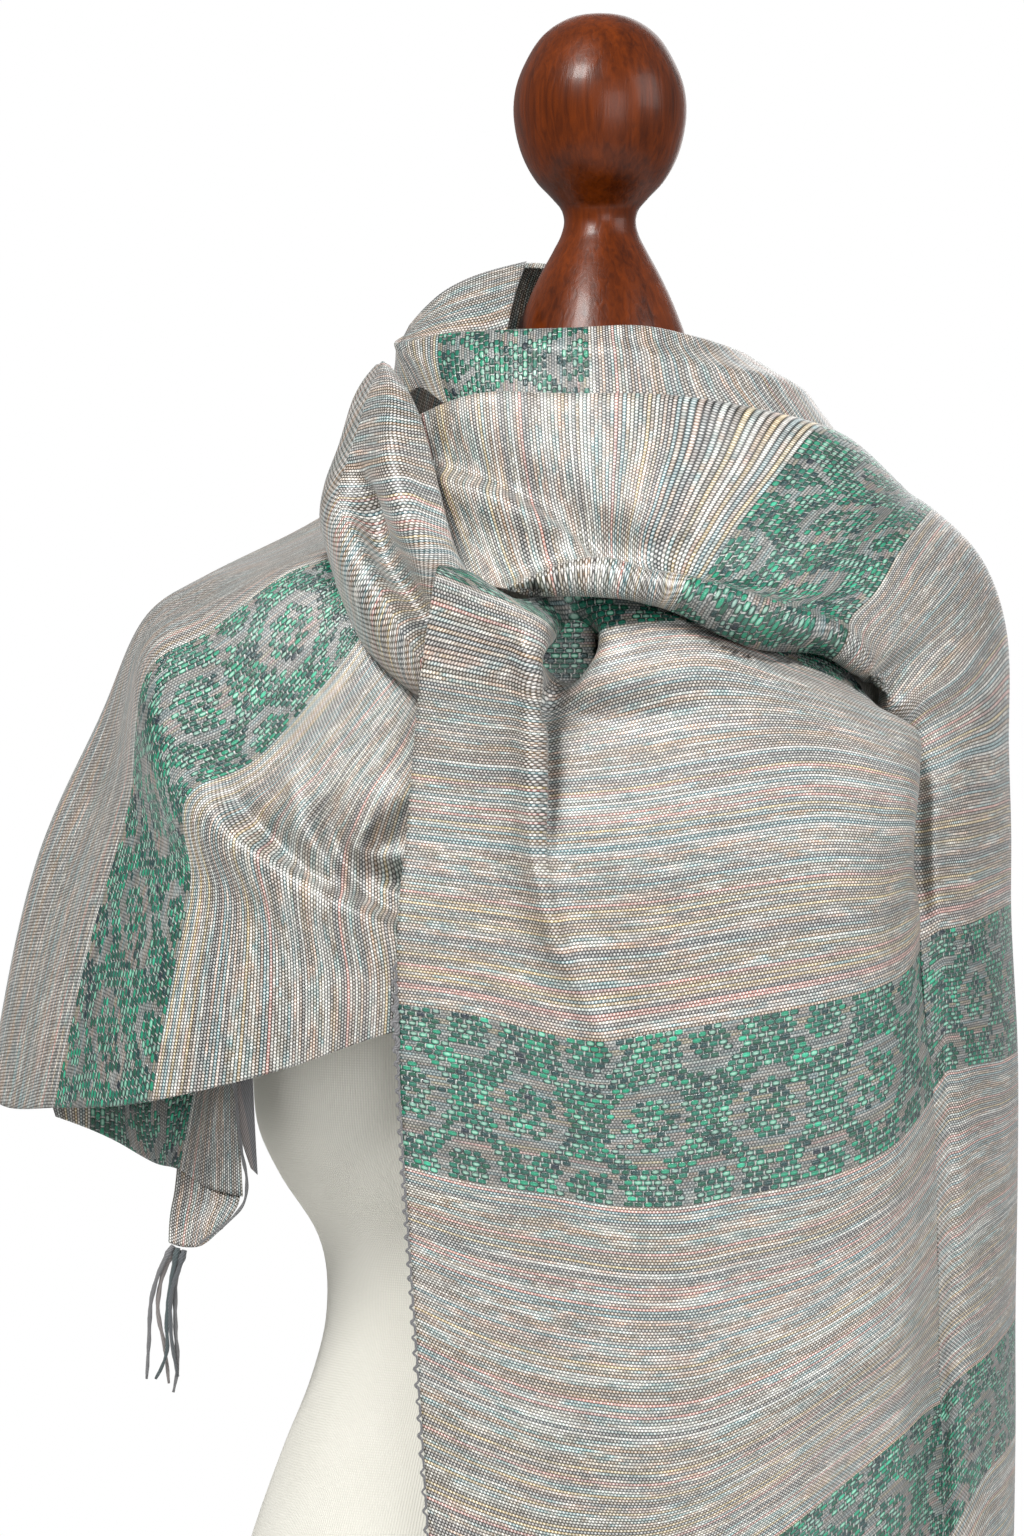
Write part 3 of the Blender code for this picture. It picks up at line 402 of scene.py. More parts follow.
# Shoulder wrap. The stretch of the scarf that leaves the knot, crosses the left of the chest,
# goes over the shoulder like a sleeve and across the back. It is a silk weave with fine
# stripes across its length and woven green bands, and it is pulled into folds at the knot.
# Columns from neck to hem: neck, shoulder in, shoulder middle, shoulder out, tip, upper, lower, hem.
# Each row has its place along the cloth, then (across, height, depth) as seen by the camera.
SHOULDER_WRAP = (
    ("front_end", 0, (-56, 762, -116), (-58, 734, -120), (-62, 708, -124), (-64, 680, -126),
     (-65, 658, -128), (-67, 633, -132), (-68, 611, -134), (-68, 591, -133)),
    ("front_fold", 32, (-65, 770, -114), (-70, 744, -118), (-79, 714, -120), (-91, 690, -120),
     (-99, 667, -114), (-101, 638, -124), (-99, 611, -132), (-100, 583, -131)),
    ("chest", 72, (-70, 775, -108), (-81, 752, -112), (-101, 726, -114), (-124, 696, -115),
     (-140, 672, -112), (-140, 640, -118), (-139, 604, -120), (-140, 569, -118)),
    ("band_front", 122, (-79, 784, -100), (-101, 770, -100), (-122, 744, -103), (-155, 708, -102),
     (-184, 692, -95), (-184, 654, -96), (-193, 606, -94), (-202, 554, -90)),
    ("band_back", 194, (-90, 809, -78), (-112, 801, -78), (-140, 792, -78), (-173, 768, -80),
     (-200, 747, -74), (-208, 690, -68), (-227, 627, -60), (-246, 551, -52)),
    ("arm_front", 239, (-81, 834, -45), (-106, 816, -48), (-140, 799, -48), (-176, 783, -46),
     (-203, 762, -40), (-217, 712, -34), (-245, 642, -28), (-266, 551, -26)),
    ("arm_edge", 279, (-76, 846, 0), (-106, 821, 0), (-142, 804, 0), (-178, 790, 0),
     (-202, 774, 2), (-225, 727, 6), (-254, 661, 8), (-275, 559, 5)),
    ("arm_back", 349, (-70, 852, 40), (-94, 836, 52), (-124, 816, 58), (-155, 794, 60),
     (-184, 762, 62), (-202, 708, 68), (-227, 649, 74), (-243, 561, 70)),
    ("back_left", 459, (-40, 856, 62), (-58, 834, 84), (-76, 806, 98), (-94, 770, 106),
     (-112, 730, 112), (-130, 680, 118), (-144, 626, 120), (-153, 568, 120)),
    ("back_middle", 589, (0, 857, 68), (0, 834, 90), (0, 806, 106), (0, 770, 114),
     (0, 730, 120), (0, 680, 124), (0, 631, 126), (0, 577, 126)),
    ("back_right", 704, (40, 856, 62), (58, 834, 82), (76, 806, 94), (92, 770, 101),
     (104, 730, 106), (112, 680, 108), (117, 631, 108), (122, 586, 108)),
    ("side_back", 779, (70, 847, 35), (97, 829, 48), (122, 806, 56), (140, 775, 60),
     (151, 734, 62), (155, 685, 60), (158, 640, 58), (160, 595, 56)),
    ("side_end", 839, (76, 842, 0), (106, 822, 0), (133, 802, 2), (151, 775, 4),
     (158, 734, 4), (160, 690, 4), (162, 644, 2), (162, 600, 0)),
)

# Wall of all the cloth, in millimetres.
WALL = 0.8

# Folds of the wrap: (across, height, rise) along the crest, then the widths left and right of it.
WRAP_FOLDS = (
    (((-182, 701, 0), (-173, 684, 6), (-163, 672, 11), (-148, 662, 13.5), (-126, 646, 13.5),
      (-101, 633, 10), (-89, 627, 5)), 6, 15),
    (((-170, 701, 0), (-161, 686, -4), (-151, 674, -7), (-140, 664, -9), (-121, 649, -8),
      (-103, 638, -5), (-90, 633, -2)), 6, 5),
    (((-140, 708, 0), (-135, 690, 5), (-130, 674, 8), (-121, 658, 8.5), (-109, 643, 7),
      (-92, 633, 2.5)), 6, 7),
    (((-119, 701, 0), (-122, 684, -4), (-119, 668, -7), (-108, 651, -7), (-94, 641, -4)), 6, 5),
    (((-85, 693, 2), (-97, 687, 6), (-106, 678, 9), (-108, 668, 9.5), (-102, 662, 9), (-88, 662, 6)), 6, 9),
    (((-107, 660, -3), (-98, 657, -12), (-88, 655, -14)), 6, 5),
    (((-190, 786, 0), (-198, 762, 3), (-202, 726, 4), (-212, 680, 4), (-227, 631, 3),
      (-243, 572, 1)), 12, 14),
)
WRAP_BACK_FOLDS = (
    (((-150, 702, 0), (-90, 690, 7), (0, 698, 10), (80, 726, 8), (118, 744, 0)), 7, 14),
    (((-150, 684, 0), (-90, 671, -4), (0, 678, -6), (84, 706, -5), (120, 722, 0)), 7, 7),
    (((-160, 645, 0), (-90, 630, 8), (0, 642, 11), (80, 680, 9), (130, 707, 0)), 8, 15),
    (((-158, 626, 0), (-90, 610, -4), (0, 621, -6), (84, 658, -5), (134, 684, 0)), 8, 8),
    (((-158, 598, 0), (-80, 583, 6), (10, 596, 9), (90, 636, 8), (140, 664, 0)), 8, 14),
)


def place(seen):
    """Points from (across, height, depth) to x, y, z: each slides along its own line of sight."""
    seen = np.asarray(seen, float)
    scale = 1.0 + seen[..., 2] / VIEW_DISTANCE
    x = EYE_X + (seen[..., 0] - EYE_X) * scale
    z = EYE_Z + (seen[..., 1] - EYE_Z) * scale
    return np.stack((x, seen[..., 2], z), axis=-1)


def as_seen(points):
    """Points from x, y, z back to (across, height, depth), the reverse of place."""
    scale = 1.0 + points[..., 1] / VIEW_DISTANCE
    across = EYE_X + (points[..., 0] - EYE_X) / scale
    height = EYE_Z + (points[..., 2] - EYE_Z) / scale
    return np.stack((across, height, points[..., 1]), axis=-1)


def mean_knots(points, axis):
    """Knots from the mean distances between neighbouring points along one axis of a table."""
    gaps = np.linalg.norm(np.diff(points, axis=axis), axis=2).mean(axis=1 - axis)
    return np.concatenate(([0.0], np.cumsum(gaps)))


def stretch(table, along, across, ring=False):
    """Even grid of points on the surface through a table, and each row's place along the cloth."""
    points = place([row[2:] for row in table])
    runs = np.array([row[1] for row in table], float)
    if ring:
        points = np.concatenate((points[-3:], points, points[:4]))
        whole = runs[-1] + (runs[-1] - runs[-2])
        runs = np.concatenate((runs[-3:] - whole, runs, runs[:4] + whole))
    rows = mean_knots(points, 0)
    columns = mean_knots(points, 1)
    at_rows = np.linspace(rows[3], rows[-4], along + 1) if ring else np.linspace(rows[0], rows[-1], along + 1)
    full = spline(points, rows, at_rows)
    at_columns = np.linspace(columns[0], columns[-1], across + 1)
    grid = np.swapaxes(spline(np.swapaxes(full, 0, 1), columns, at_columns), 0, 1)
    return grid, np.interp(at_rows, rows, runs)


def outward(grid, side):
    """Unit normals of a grid: the cross product of its two slopes, turned to the side given."""
    normal = np.cross(np.gradient(grid, axis=0), np.gradient(grid, axis=1))
    return side * normal / np.maximum(np.linalg.norm(normal, axis=2, keepdims=True), 1e-9)


def fold(grid, side, lines, spots=None, face=None):
    """Ridges and valleys: along the normal by rise * exp(-(distance / width)^2) from each line.

    The distance is to the line's nearest point, either as seen from the front or, where spots
    are given, on the cloth itself. The width is its own on either side, and the rise is read
    along the line. Where a face is given, only the cloth that faces that way moves: -1 is
    towards the camera and 1 is away from it."""
    normal = outward(grid, side)
    weight = 1.0 if face is None else np.clip(face * normal[..., 1] * 4.0, 0.0, 1.0)
    spots = as_seen(grid)[..., :2] if spots is None else spots
    seen = spots.reshape(-1, 1, 2)
    moved = np.zeros(len(seen))
    for line, left, right in lines:
        line = np.array(line, float)
        knots = np.concatenate(([0.0], np.cumsum(np.linalg.norm(np.diff(line[:, :2], axis=0), axis=1))))
        line = spline(line, knots, np.linspace(0.0, knots[-1], 6 * len(line)))
        start = line[None, :-1, :2]
        step = line[None, 1:, :2] - start
        t = np.clip(((seen - start) * step).sum(2) / (step**2).sum(2), 0.0, 1.0)
        off = seen - start - t[..., None] * step
        distance = np.linalg.norm(off, axis=2)
        best = distance.argmin(axis=1)
        pick = np.arange(len(best))
        t = t[pick, best]
        rise = line[best, 2] * (1.0 - t) + line[best + 1, 2] * t
        turn = step[0, best, 0] * off[pick, best, 1] - step[0, best, 1] * off[pick, best, 0]
        width = np.where(turn > 0.0, left, right)
        moved += rise * np.exp(-(distance[pick, best] / width) ** 2)
    return grid + normal * (weight * moved.reshape(grid.shape[:2]))[..., None]


# Points that are compared at once, and a depth in front of everything. Then, in millimetres:
# how deep under a layer a point is still lifted and how far beside its nearest point, and how
# far behind a point the layer in front of it may lie and how far beside it, as seen.
BLOCK = 1500
NOTHING = -1e6
LIFT_REACH = 30.0
LIFT_ASIDE = 6.0
TUCK_REACH = 14.0
TUCK_ASIDE = 5.0


def near(points, other):
    """Nearest of some other points to each point, as its index, found in blocks of rows."""
    a = points.astype(np.float32)
    b = other.astype(np.float32)
    size = (b**2).sum(1)
    best = np.empty(len(a), int)
    for start in range(0, len(a), BLOCK):
        best[start:start + BLOCK] = (size - 2.0 * a[start:start + BLOCK] @ b.T).argmin(axis=1)
    return best


def close_by(points, other, margin, axes):
    """Whether each point lies in the box round some other points, grown by a margin."""
    low = other[:, :axes].min(axis=0) - margin
    high = other[:, :axes].max(axis=0) + margin
    return ((points[:, :axes] > low) & (points[:, :axes] < high)).all(axis=1)


def lift(grid, under, side, gap, where=None):
    """Raise a grid until it lies at least a gap over the grid under it, along that one's normals."""
    low = under[::2, ::2].reshape(-1, 3)
    normal = outward(under, side)[::2, ::2].reshape(-1, 3)
    points = grid.reshape(-1, 3).copy()
    some = close_by(points, low, LIFT_REACH, 3)
    if where is not None:
        some &= where(points)
    low_some = close_by(low, points[some], LIFT_REACH, 3)
    low, normal = low[low_some], normal[low_some]
    best = near(points[some], low)
    away = points[some] - low[best]
    over = (away * normal[best]).sum(1)
    far = np.sqrt(np.maximum((away**2).sum(1) - over**2, 0.0))
    moves = (over < gap) & (over > -LIFT_REACH) & (far < LIFT_ASIDE)
    points[some] += normal[best] * np.where(moves, gap - over, 0.0)[:, None]
    return points.reshape(grid.shape)


def tuck(grid, cover, gap, where=None):
    """Slide a grid back along the lines of sight until it clears the sheet in front of it.

    The depth to clear is the deepest point of that sheet within a few millimetres, as seen."""
    seen = as_seen(grid).reshape(-1, 3)
    front = as_seen(cover)[::2, ::2].reshape(-1, 3)
    some = close_by(seen, front, TUCK_ASIDE, 2)
    if where is not None:
        some &= where(grid.reshape(-1, 3))
    front = front[close_by(front, seen[some], TUCK_ASIDE, 2)]
    sight = front[:, :2].astype(np.float32)
    size = (sight**2).sum(1)
    picked = seen[some]
    needed = np.full(len(picked), NOTHING)
    for start in range(0, len(picked), BLOCK):
        part = picked[start:start + BLOCK]
        flat = part[:, :2].astype(np.float32)
        gaps = size - 2.0 * flat @ sight.T + (flat**2).sum(1)[:, None]
        met = (gaps < TUCK_ASIDE**2) & (front[None, :, 2] < part[:, 2:] + TUCK_REACH)
        needed[start:start + BLOCK] = np.where(met, front[None, :, 2], NOTHING).max(axis=1) + gap
    picked[:, 2] = np.maximum(picked[:, 2], needed)
    seen[some] = picked
    return place(seen).reshape(grid.shape)


def cloth_places(grid, runs, start=0.0):
    """Pattern places: run across the cloth from the middle column, and run along it from a start."""
    gaps = np.linalg.norm(np.diff(grid, axis=1), axis=2)
    across = np.concatenate((np.zeros((len(grid), 1)), np.cumsum(gaps, axis=1)), axis=1)
    across = across - across[:, grid.shape[1] // 2][:, None]
    return np.stack(np.broadcast_arrays(across, runs[:, None] - start), axis=-1)


def sheet_piece(name, grid, places, look, flip=False):
    """Cloth of one stretch: its outer side is the grid, and its wall goes inward."""
    rows, columns = grid.shape[:2]
    made = piece(name, grid.reshape(-1, 3), quads(rows, columns, flip=flip), look, places.reshape(-1, 2))
    wall = made.modifiers.new("cloth_wall", "SOLIDIFY")
    wall.thickness = WALL * MM
    wall.offset = -1.0
    wall.use_rim = True
    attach(made, "root")
    return made


def hashed(tree, first, second=None, seed=0.0):
    """White noise for a whole number, or for two: a value from 0 to 1."""
    made = tree.nodes.new("ShaderNodeTexWhiteNoise")
    made.noise_dimensions = "2D"
    pair = tree.nodes.new("ShaderNodeCombineXYZ")
    tree.links.new(math(tree, "ADD", first, 0.5 + seed), pair.inputs[0])
    if second is None:
        pair.inputs[1].default_value = seed
    else:
        tree.links.new(math(tree, "ADD", second, 0.5), pair.inputs[1])
    tree.links.new(pair.outputs[0], made.inputs["Vector"])
    return made.outputs["Value"]


def steps_of(tree, value, colours, way="CONSTANT"):
    """Ramp that gives one of the colours for a value from 0 to 1, in even steps."""
    made = tree.nodes.new("ShaderNodeValToRGB")
    made.color_ramp.interpolation = way
    bars = made.color_ramp.elements
    while len(bars) < len(colours):
        bars.new(0.5)
    for k, colour in enumerate(colours):
        bars[k].position = k / len(colours) if way == "CONSTANT" else k / (len(colours) - 1)
        bars[k].color = colour
    tree.links.new(value, made.inputs["Fac"])
    return made.outputs["Color"]


def smooth_step(tree, value, low, high):
    """Share from 0 at the low bound to 1 at the high bound, with soft ends."""
    made = tree.nodes.new("ShaderNodeMapRange")
    made.interpolation_type = "SMOOTHSTEP"
    made.inputs["From Min"].default_value = low
    made.inputs["From Max"].default_value = high
    made.inputs["To Min"].default_value = 0.0
    made.inputs["To Max"].default_value = 1.0
    tree.links.new(value, made.inputs["Value"])
    return made.outputs["Result"]


def in_millimetres(group, inside):
    """Places across and along the cloth, in millimetres, from a group's Cloth socket."""
    parts = group.nodes.new("ShaderNodeSeparateXYZ")
    group.links.new(inside.outputs["Cloth"], parts.inputs[0])
    return (math(group, "MULTIPLY", parts.outputs[0], 1.0 / MM),
            math(group, "MULTIPLY", parts.outputs[1], 1.0 / MM))


def from_centre(tree, value):
    """Distance from the middle of a step of 1, from 0 there to 1 at its ends."""
    return math(tree, "ABSOLUTE", math(tree, "MULTIPLY_ADD", math(tree, "FRACT", value), 2.0, -1.0))


def soft_noise(tree, x, y, detail, scale=1.0, layer=0.0):
    """Cloudy noise at (x, y) of one layer, from 0 to 1."""
    made = tree.nodes.new("ShaderNodeTexNoise")
    made.inputs["Scale"].default_value = scale
    made.inputs["Detail"].default_value = detail
    spot = tree.nodes.new("ShaderNodeCombineXYZ")
    tree.links.new(x, spot.inputs[0])
    tree.links.new(y, spot.inputs[1])
    spot.inputs[2].default_value = layer
    tree.links.new(spot.outputs[0], made.inputs["Vector"])
    return made.outputs["Fac"]


# The weave, in millimetres: height of a row and length of a bead. The bands: their width and
# how often they come, the size of a float, the distance between the medallions, the radius and
# half width of the bare rings of the whole and the half ones, and the radius of a heart.
ROW = 1.25
BEAD = 1.5
BAND_WIDTH = 72.0
BAND_REPEAT = 247.0
FLOAT_LENGTH = 4.2
FLOAT_ROW = 2.3
MEDALLIONS = 52.0
RING = (14.2, 2.6)
HALF_RING = (11.4, 2.3)
HEART = 11.0


def weave_group():
    """Plain weave: rows of beads 1.25 mm apart, every other row moved by half a bead of 1.5 mm.

    Light warp beads alternate with the weft. The weft's colour is a stripe, by the place along
    the cloth alone: narrow stripes of a few rows in broad zones, and single odd rows. Over them
    lie long patches, because the yarn is dyed in lengths. The gaps between beads are darkened
    with painted shade from the beads' height, and each bead has its own lightness: partly random
    tone and partly painted glint."""
    group, inside, outside = node_group(
        "silk_weave", (("Cloth", "Vector"),), (("Color", "Color"), ("Height", "Float")))
    across, along = in_millimetres(group, inside)
    rows = math(group, "DIVIDE", along, ROW)
    row = math(group, "FLOOR", rows)
    odd = math(group, "MULTIPLY", math(group, "FLOORED_MODULO", row, 2.0), 0.5)
    beads = math(group, "ADD", math(group, "DIVIDE", across, BEAD), odd)
    bead = math(group, "FLOOR", beads)
    off = from_centre(group, beads)
    up = from_centre(group, rows)
    oval = math(group, "SQRT", math(group, "ADD", math(group, "MULTIPLY", off, off),
                                    math(group, "MULTIPLY", math(group, "MULTIPLY", up, up), 0.72)))
    warp = smooth_step(group, oval, 0.98, 0.30)
    weft = math(group, "MULTIPLY", smooth_step(group, off, 0.55, 0.95), smooth_step(group, up, 0.95, 0.35))
    height = math(group, "MAXIMUM", warp, math(group, "MULTIPLY", weft, 0.62))
    narrow = math(group, "FLOOR", math(group, "DIVIDE", row, 3.0))
    stripe = steps_of(group, hashed(group, narrow, seed=3.0), (
        paint(150, 150, 146), paint(184, 128, 108), paint(92, 94, 96), paint(150, 112, 44),
        paint(176, 178, 174), paint(76, 132, 138), paint(112, 96, 50), paint(192, 146, 130),
        paint(72, 76, 80), paint(160, 152, 124), paint(84, 138, 130), paint(134, 106, 56),
    ))
    thin = steps_of(group, hashed(group, row, seed=11.0), (
        paint(196, 196, 190), paint(54, 56, 60), paint(192, 118, 104), paint(134, 92, 24),
        paint(50, 122, 132), paint(46, 50, 54), paint(178, 150, 78), paint(88, 68, 34),
    ))
    zones = group.nodes.new("ShaderNodeTexNoise")
    zones.noise_dimensions = "1D"
    zones.inputs["Scale"].default_value = 1.0
    zones.inputs["Detail"].default_value = 2.0
    group.links.new(math(group, "DIVIDE", row, 11.0), zones.inputs["W"])
    zone = steps_of(group, math(group, "MULTIPLY_ADD", zones.outputs["Fac"], 2.6, -0.8, clamp=True), (
        paint(168, 140, 112), paint(106, 112, 114), paint(122, 98, 50), paint(174, 176, 170),
        paint(94, 134, 136), paint(134, 108, 66),
    ), "LINEAR")
    colour = blend(group, 0.5, zone, stripe)
    dyed = soft_noise(group, math(group, "DIVIDE", across, 50.0), math(group, "DIVIDE", row, 4.2),
                      3.0, layer=7.0)
    patches = steps_of(group, math(group, "MULTIPLY_ADD", dyed, 3.0, -1.0, clamp=True), (
        paint(96, 68, 26), paint(208, 206, 196), paint(128, 98, 48), paint(74, 138, 144),
        paint(202, 202, 194), paint(190, 148, 118), paint(82, 82, 80), paint(152, 122, 68),
    ), "LINEAR")
    colour = blend(group, 0.70, colour, patches)
    odd_row = math(group, "GREATER_THAN", hashed(group, row, seed=23.0), 0.56)
    colour = blend(group, math(group, "MULTIPLY", odd_row, 0.80), colour, thin)
    drift = soft_noise(group, math(group, "DIVIDE", across, 34.0), math(group, "DIVIDE", row, 2.3), 2.0)
    colour = blend(group, 1.0, colour, math(group, "MULTIPLY_ADD", drift, 2.3, -0.27), "MULTIPLY")
    # Each bead's own lightness, from 0.78 to 1.4 times its colour: partly random tone, partly painted glints
    # on the beads.
    own = math(group, "MULTIPLY_ADD", hashed(group, bead, row), 0.62, 0.78)
    bright = blend(group, 1.0, blend(group, 0.56, paint(255, 253, 250), colour), own, "MULTIPLY")
    colour = blend(group, warp, colour, bright)
    # Painted shade: the colour is darkened where the weave lies low, in the gaps between beads.
    shade = math(group, "MULTIPLY_ADD", smooth_step(group, height, 0.0, 0.72), 0.95, 0.08)
    colour = blend(group, 1.0, colour, shade, "MULTIPLY")
    group.links.new(colour, outside.inputs["Color"])
    group.links.new(height, outside.inputs["Height"])
    return group


def brocade_group():
    """Green bands, 72 mm wide and 247 mm apart: loose green floats of 4.2 by 2.3 mm over the weave.

    Each float is there or not by the figure at its own middle, and a pale warp thread ties most
    of them down at their ends. Round medallions stand 52 mm apart along the band's middle, and
    half ones along both borders, midway between: each is a green heart in a bare ring, and the
    floats between the rings make the green lattice. A few floats are left out by chance, and
    more of them in the hearts, like the seeds of a flower."""
    group, inside, outside = node_group(
        "green_brocade", (("Cloth", "Vector"),),
        (("Color", "Color"), ("Mask", "Float"), ("Band", "Float"), ("Height", "Float")))
    across, along = in_millimetres(group, inside)
    rows = math(group, "DIVIDE", along, FLOAT_ROW)
    row = math(group, "FLOOR", rows)
    shift = math(group, "MULTIPLY_ADD", hashed(group, row, seed=5.0), 0.30,
                 math(group, "MULTIPLY", math(group, "FLOORED_MODULO", row, 2.0), 0.5))
    cells = math(group, "ADD", math(group, "DIVIDE", across, FLOAT_LENGTH), shift)
    cell = math(group, "FLOOR", cells)
    middle = math(group, "SUBTRACT", math(group, "ADD", cell, 0.5), shift)
    middle = math(group, "MULTIPLY", middle, FLOAT_LENGTH)
    level = math(group, "MULTIPLY", math(group, "ADD", row, 0.5), FLOAT_ROW)
    level = math(group, "FLOORED_MODULO", level, BAND_REPEAT)
    off_u = from_centre(group, cells)
    off_v = from_centre(group, rows)
    own = math(group, "MULTIPLY_ADD", hashed(group, cell, row, seed=61.0), 0.42, 0.86)
    long = math(group, "POWER", math(group, "MULTIPLY", off_u, own), 2.6)
    corner = math(group, "MULTIPLY_ADD", math(group, "POWER", off_v, 2.2), 1.05, long)
    dash = smooth_step(group, corner, 1.25, 0.30)
    over = smooth_step(group, corner, 1.75, 1.25)
    tie = math(group, "MULTIPLY", smooth_step(group, off_u, 0.80, 0.93),
               smooth_step(group, off_v, 0.85, 0.40))
    tie = math(group, "MULTIPLY", tie, math(group, "GREATER_THAN", hashed(group, cell, row, seed=71.0), 0.30))
    fall = math(group, "MULTIPLY_ADD", math(group, "MULTIPLY", off_u, off_u), 0.45,
                math(group, "MULTIPLY", math(group, "MULTIPLY", off_v, off_v), 0.55))
    crown = math(group, "SUBTRACT", 1.0, fall)

    def from_middles(shifted, height_at, squash):
        """Distance from the nearest middle of a row of round figures, 52 mm apart."""
        place_in = math(group, "ADD", math(group, "DIVIDE", middle, MEDALLIONS), shifted)
        x = math(group, "SUBTRACT", math(group, "FRACT", place_in), 0.5)
        x = math(group, "MULTIPLY", x, MEDALLIONS)
        y = math(group, "MULTIPLY", math(group, "SUBTRACT", level, height_at), squash)
        squares = math(group, "ADD", math(group, "MULTIPLY", x, x), math(group, "MULTIPLY", y, y))
        return math(group, "SQRT", squares)

    whole = from_middles(0.0, 38.0, 0.92)
    low_half = from_middles(0.5, 67.0, 1.0)
    high_half = from_middles(0.5, 5.0, 1.0)
    half = math(group, "MINIMUM", low_half, high_half)
    bare = math(group, "MAXIMUM", math(group, "COMPARE", whole, *RING),
                math(group, "COMPARE", half, *HALF_RING))
    waves = math(group, "MULTIPLY", math(group, "COSINE", math(group, "MULTIPLY", middle, 0.73)),
                 math(group, "COSINE", math(group, "MULTIPLY", level, 0.78)))
    heart = math(group, "LESS_THAN", whole, HEART)
    seeds = math(group, "MULTIPLY", heart, math(group, "GREATER_THAN", waves, 0.35))
    chance = hashed(group, cell, row, seed=31.0)
    limit = math(group, "SUBTRACT", 0.97, math(group, "MULTIPLY", bare, 0.92))
    limit = math(group, "SUBTRACT", limit, math(group, "MULTIPLY", seeds, 0.45))
    there = math(group, "LESS_THAN", chance, limit)
    in_band = math(group, "LESS_THAN", level, BAND_WIDTH)
    group.links.new(in_band, outside.inputs["Band"])
    there = math(group, "MULTIPLY", there, in_band)
    cloud = soft_noise(group, middle, math(group, "MULTIPLY", row, FLOAT_ROW), 1.0, scale=0.055)
    speck = math(group, "MULTIPLY_ADD", hashed(group, cell, row, seed=47.0), 0.62, -0.26)
    pick = math(group, "MULTIPLY_ADD", cloud, 0.9, speck, clamp=True)
    tone = steps_of(group, pick, (
        paint(8, 32, 44), paint(6, 54, 54), paint(8, 76, 64), paint(10, 100, 80),
        paint(6, 76, 56), paint(16, 130, 98), paint(8, 100, 80), paint(44, 164, 128),
    ))
    # Painted light on each float: lighter along its crown, with painted shade towards its ends and sides.
    painted_crown_light = math(group, "MULTIPLY_ADD", crown, 1.25, 0.05)
    # Painted shade: the dark teal round each float stands for the shade in the gaps between floats.
    float_colour = blend(group, dash, paint(8, 38, 38), blend(group, 1.0, tone, painted_crown_light, "MULTIPLY"))
    # Painted glint: on some floats, chosen at random, the crown is turned pale like a highlight.
    glinting = math(group, "GREATER_THAN", hashed(group, cell, row, seed=83.0), 0.66)
    painted_glint = math(group, "MULTIPLY", smooth_step(group, crown, 0.72, 0.98), glinting)
    float_colour = blend(group, math(group, "MULTIPLY", painted_glint, 0.55), float_colour, paint(186, 226, 208))
    tied = blend(group, math(group, "MULTIPLY", tie, 0.65), float_colour, paint(226, 228, 222))
    proud = math(group, "MULTIPLY", dash, math(group, "MULTIPLY_ADD", crown, 0.5, 0.5))
    group.links.new(tied, outside.inputs["Color"])
    group.links.new(math(group, "MULTIPLY", there, over, clamp=True), outside.inputs["Mask"])
    group.links.new(math(group, "MULTIPLY", there, proud), outside.inputs["Height"])
    return group


silk_weave = weave_group()
green_brocade = brocade_group()


def silk(name):
    """Silk cloth: the weave, greyer within the bands, with the green floats over it in relief."""
    look, tree, shader = finish(name, 0.32, Sheen_Weight=0.25, Sheen_Roughness=0.30)
    shader.inputs["Specular IOR Level"].default_value = 1.0
    where = cloth_uv(tree)
    ground = tree.nodes.new("ShaderNodeGroup")
    ground.node_tree = silk_weave
    green = tree.nodes.new("ShaderNodeGroup")
    green.node_tree = green_brocade
    tree.links.new(where, ground.inputs[0])
    tree.links.new(where, green.inputs[0])
    greyer = math(tree, "MULTIPLY", green.outputs["Band"], 0.50)
    grey_ground = blend(tree, greyer, ground.outputs["Color"], paint(58, 74, 76))
    colour = blend(tree, green.outputs["Mask"], grey_ground, green.outputs["Color"])
    tree.links.new(colour, shader.inputs["Base Color"])
    tree.links.new(math(tree, "MULTIPLY_ADD", green.outputs["Mask"], -0.06, 0.32), shader.inputs["Roughness"])
    height = math(tree, "MULTIPLY_ADD", green.outputs["Height"], 1.6, ground.outputs["Height"])
    relief(tree, shader, height, 0.00013)
    return look


wrap, wrap_runs = stretch(SHOULDER_WRAP, 280, 104)
wrap_places = cloth_places(wrap, wrap_runs, start=122.0)
wrap = fold(wrap, 1.0, WRAP_FOLDS, face=-1.0)
wrap = fold(wrap, 1.0, WRAP_BACK_FOLDS, face=1.0)

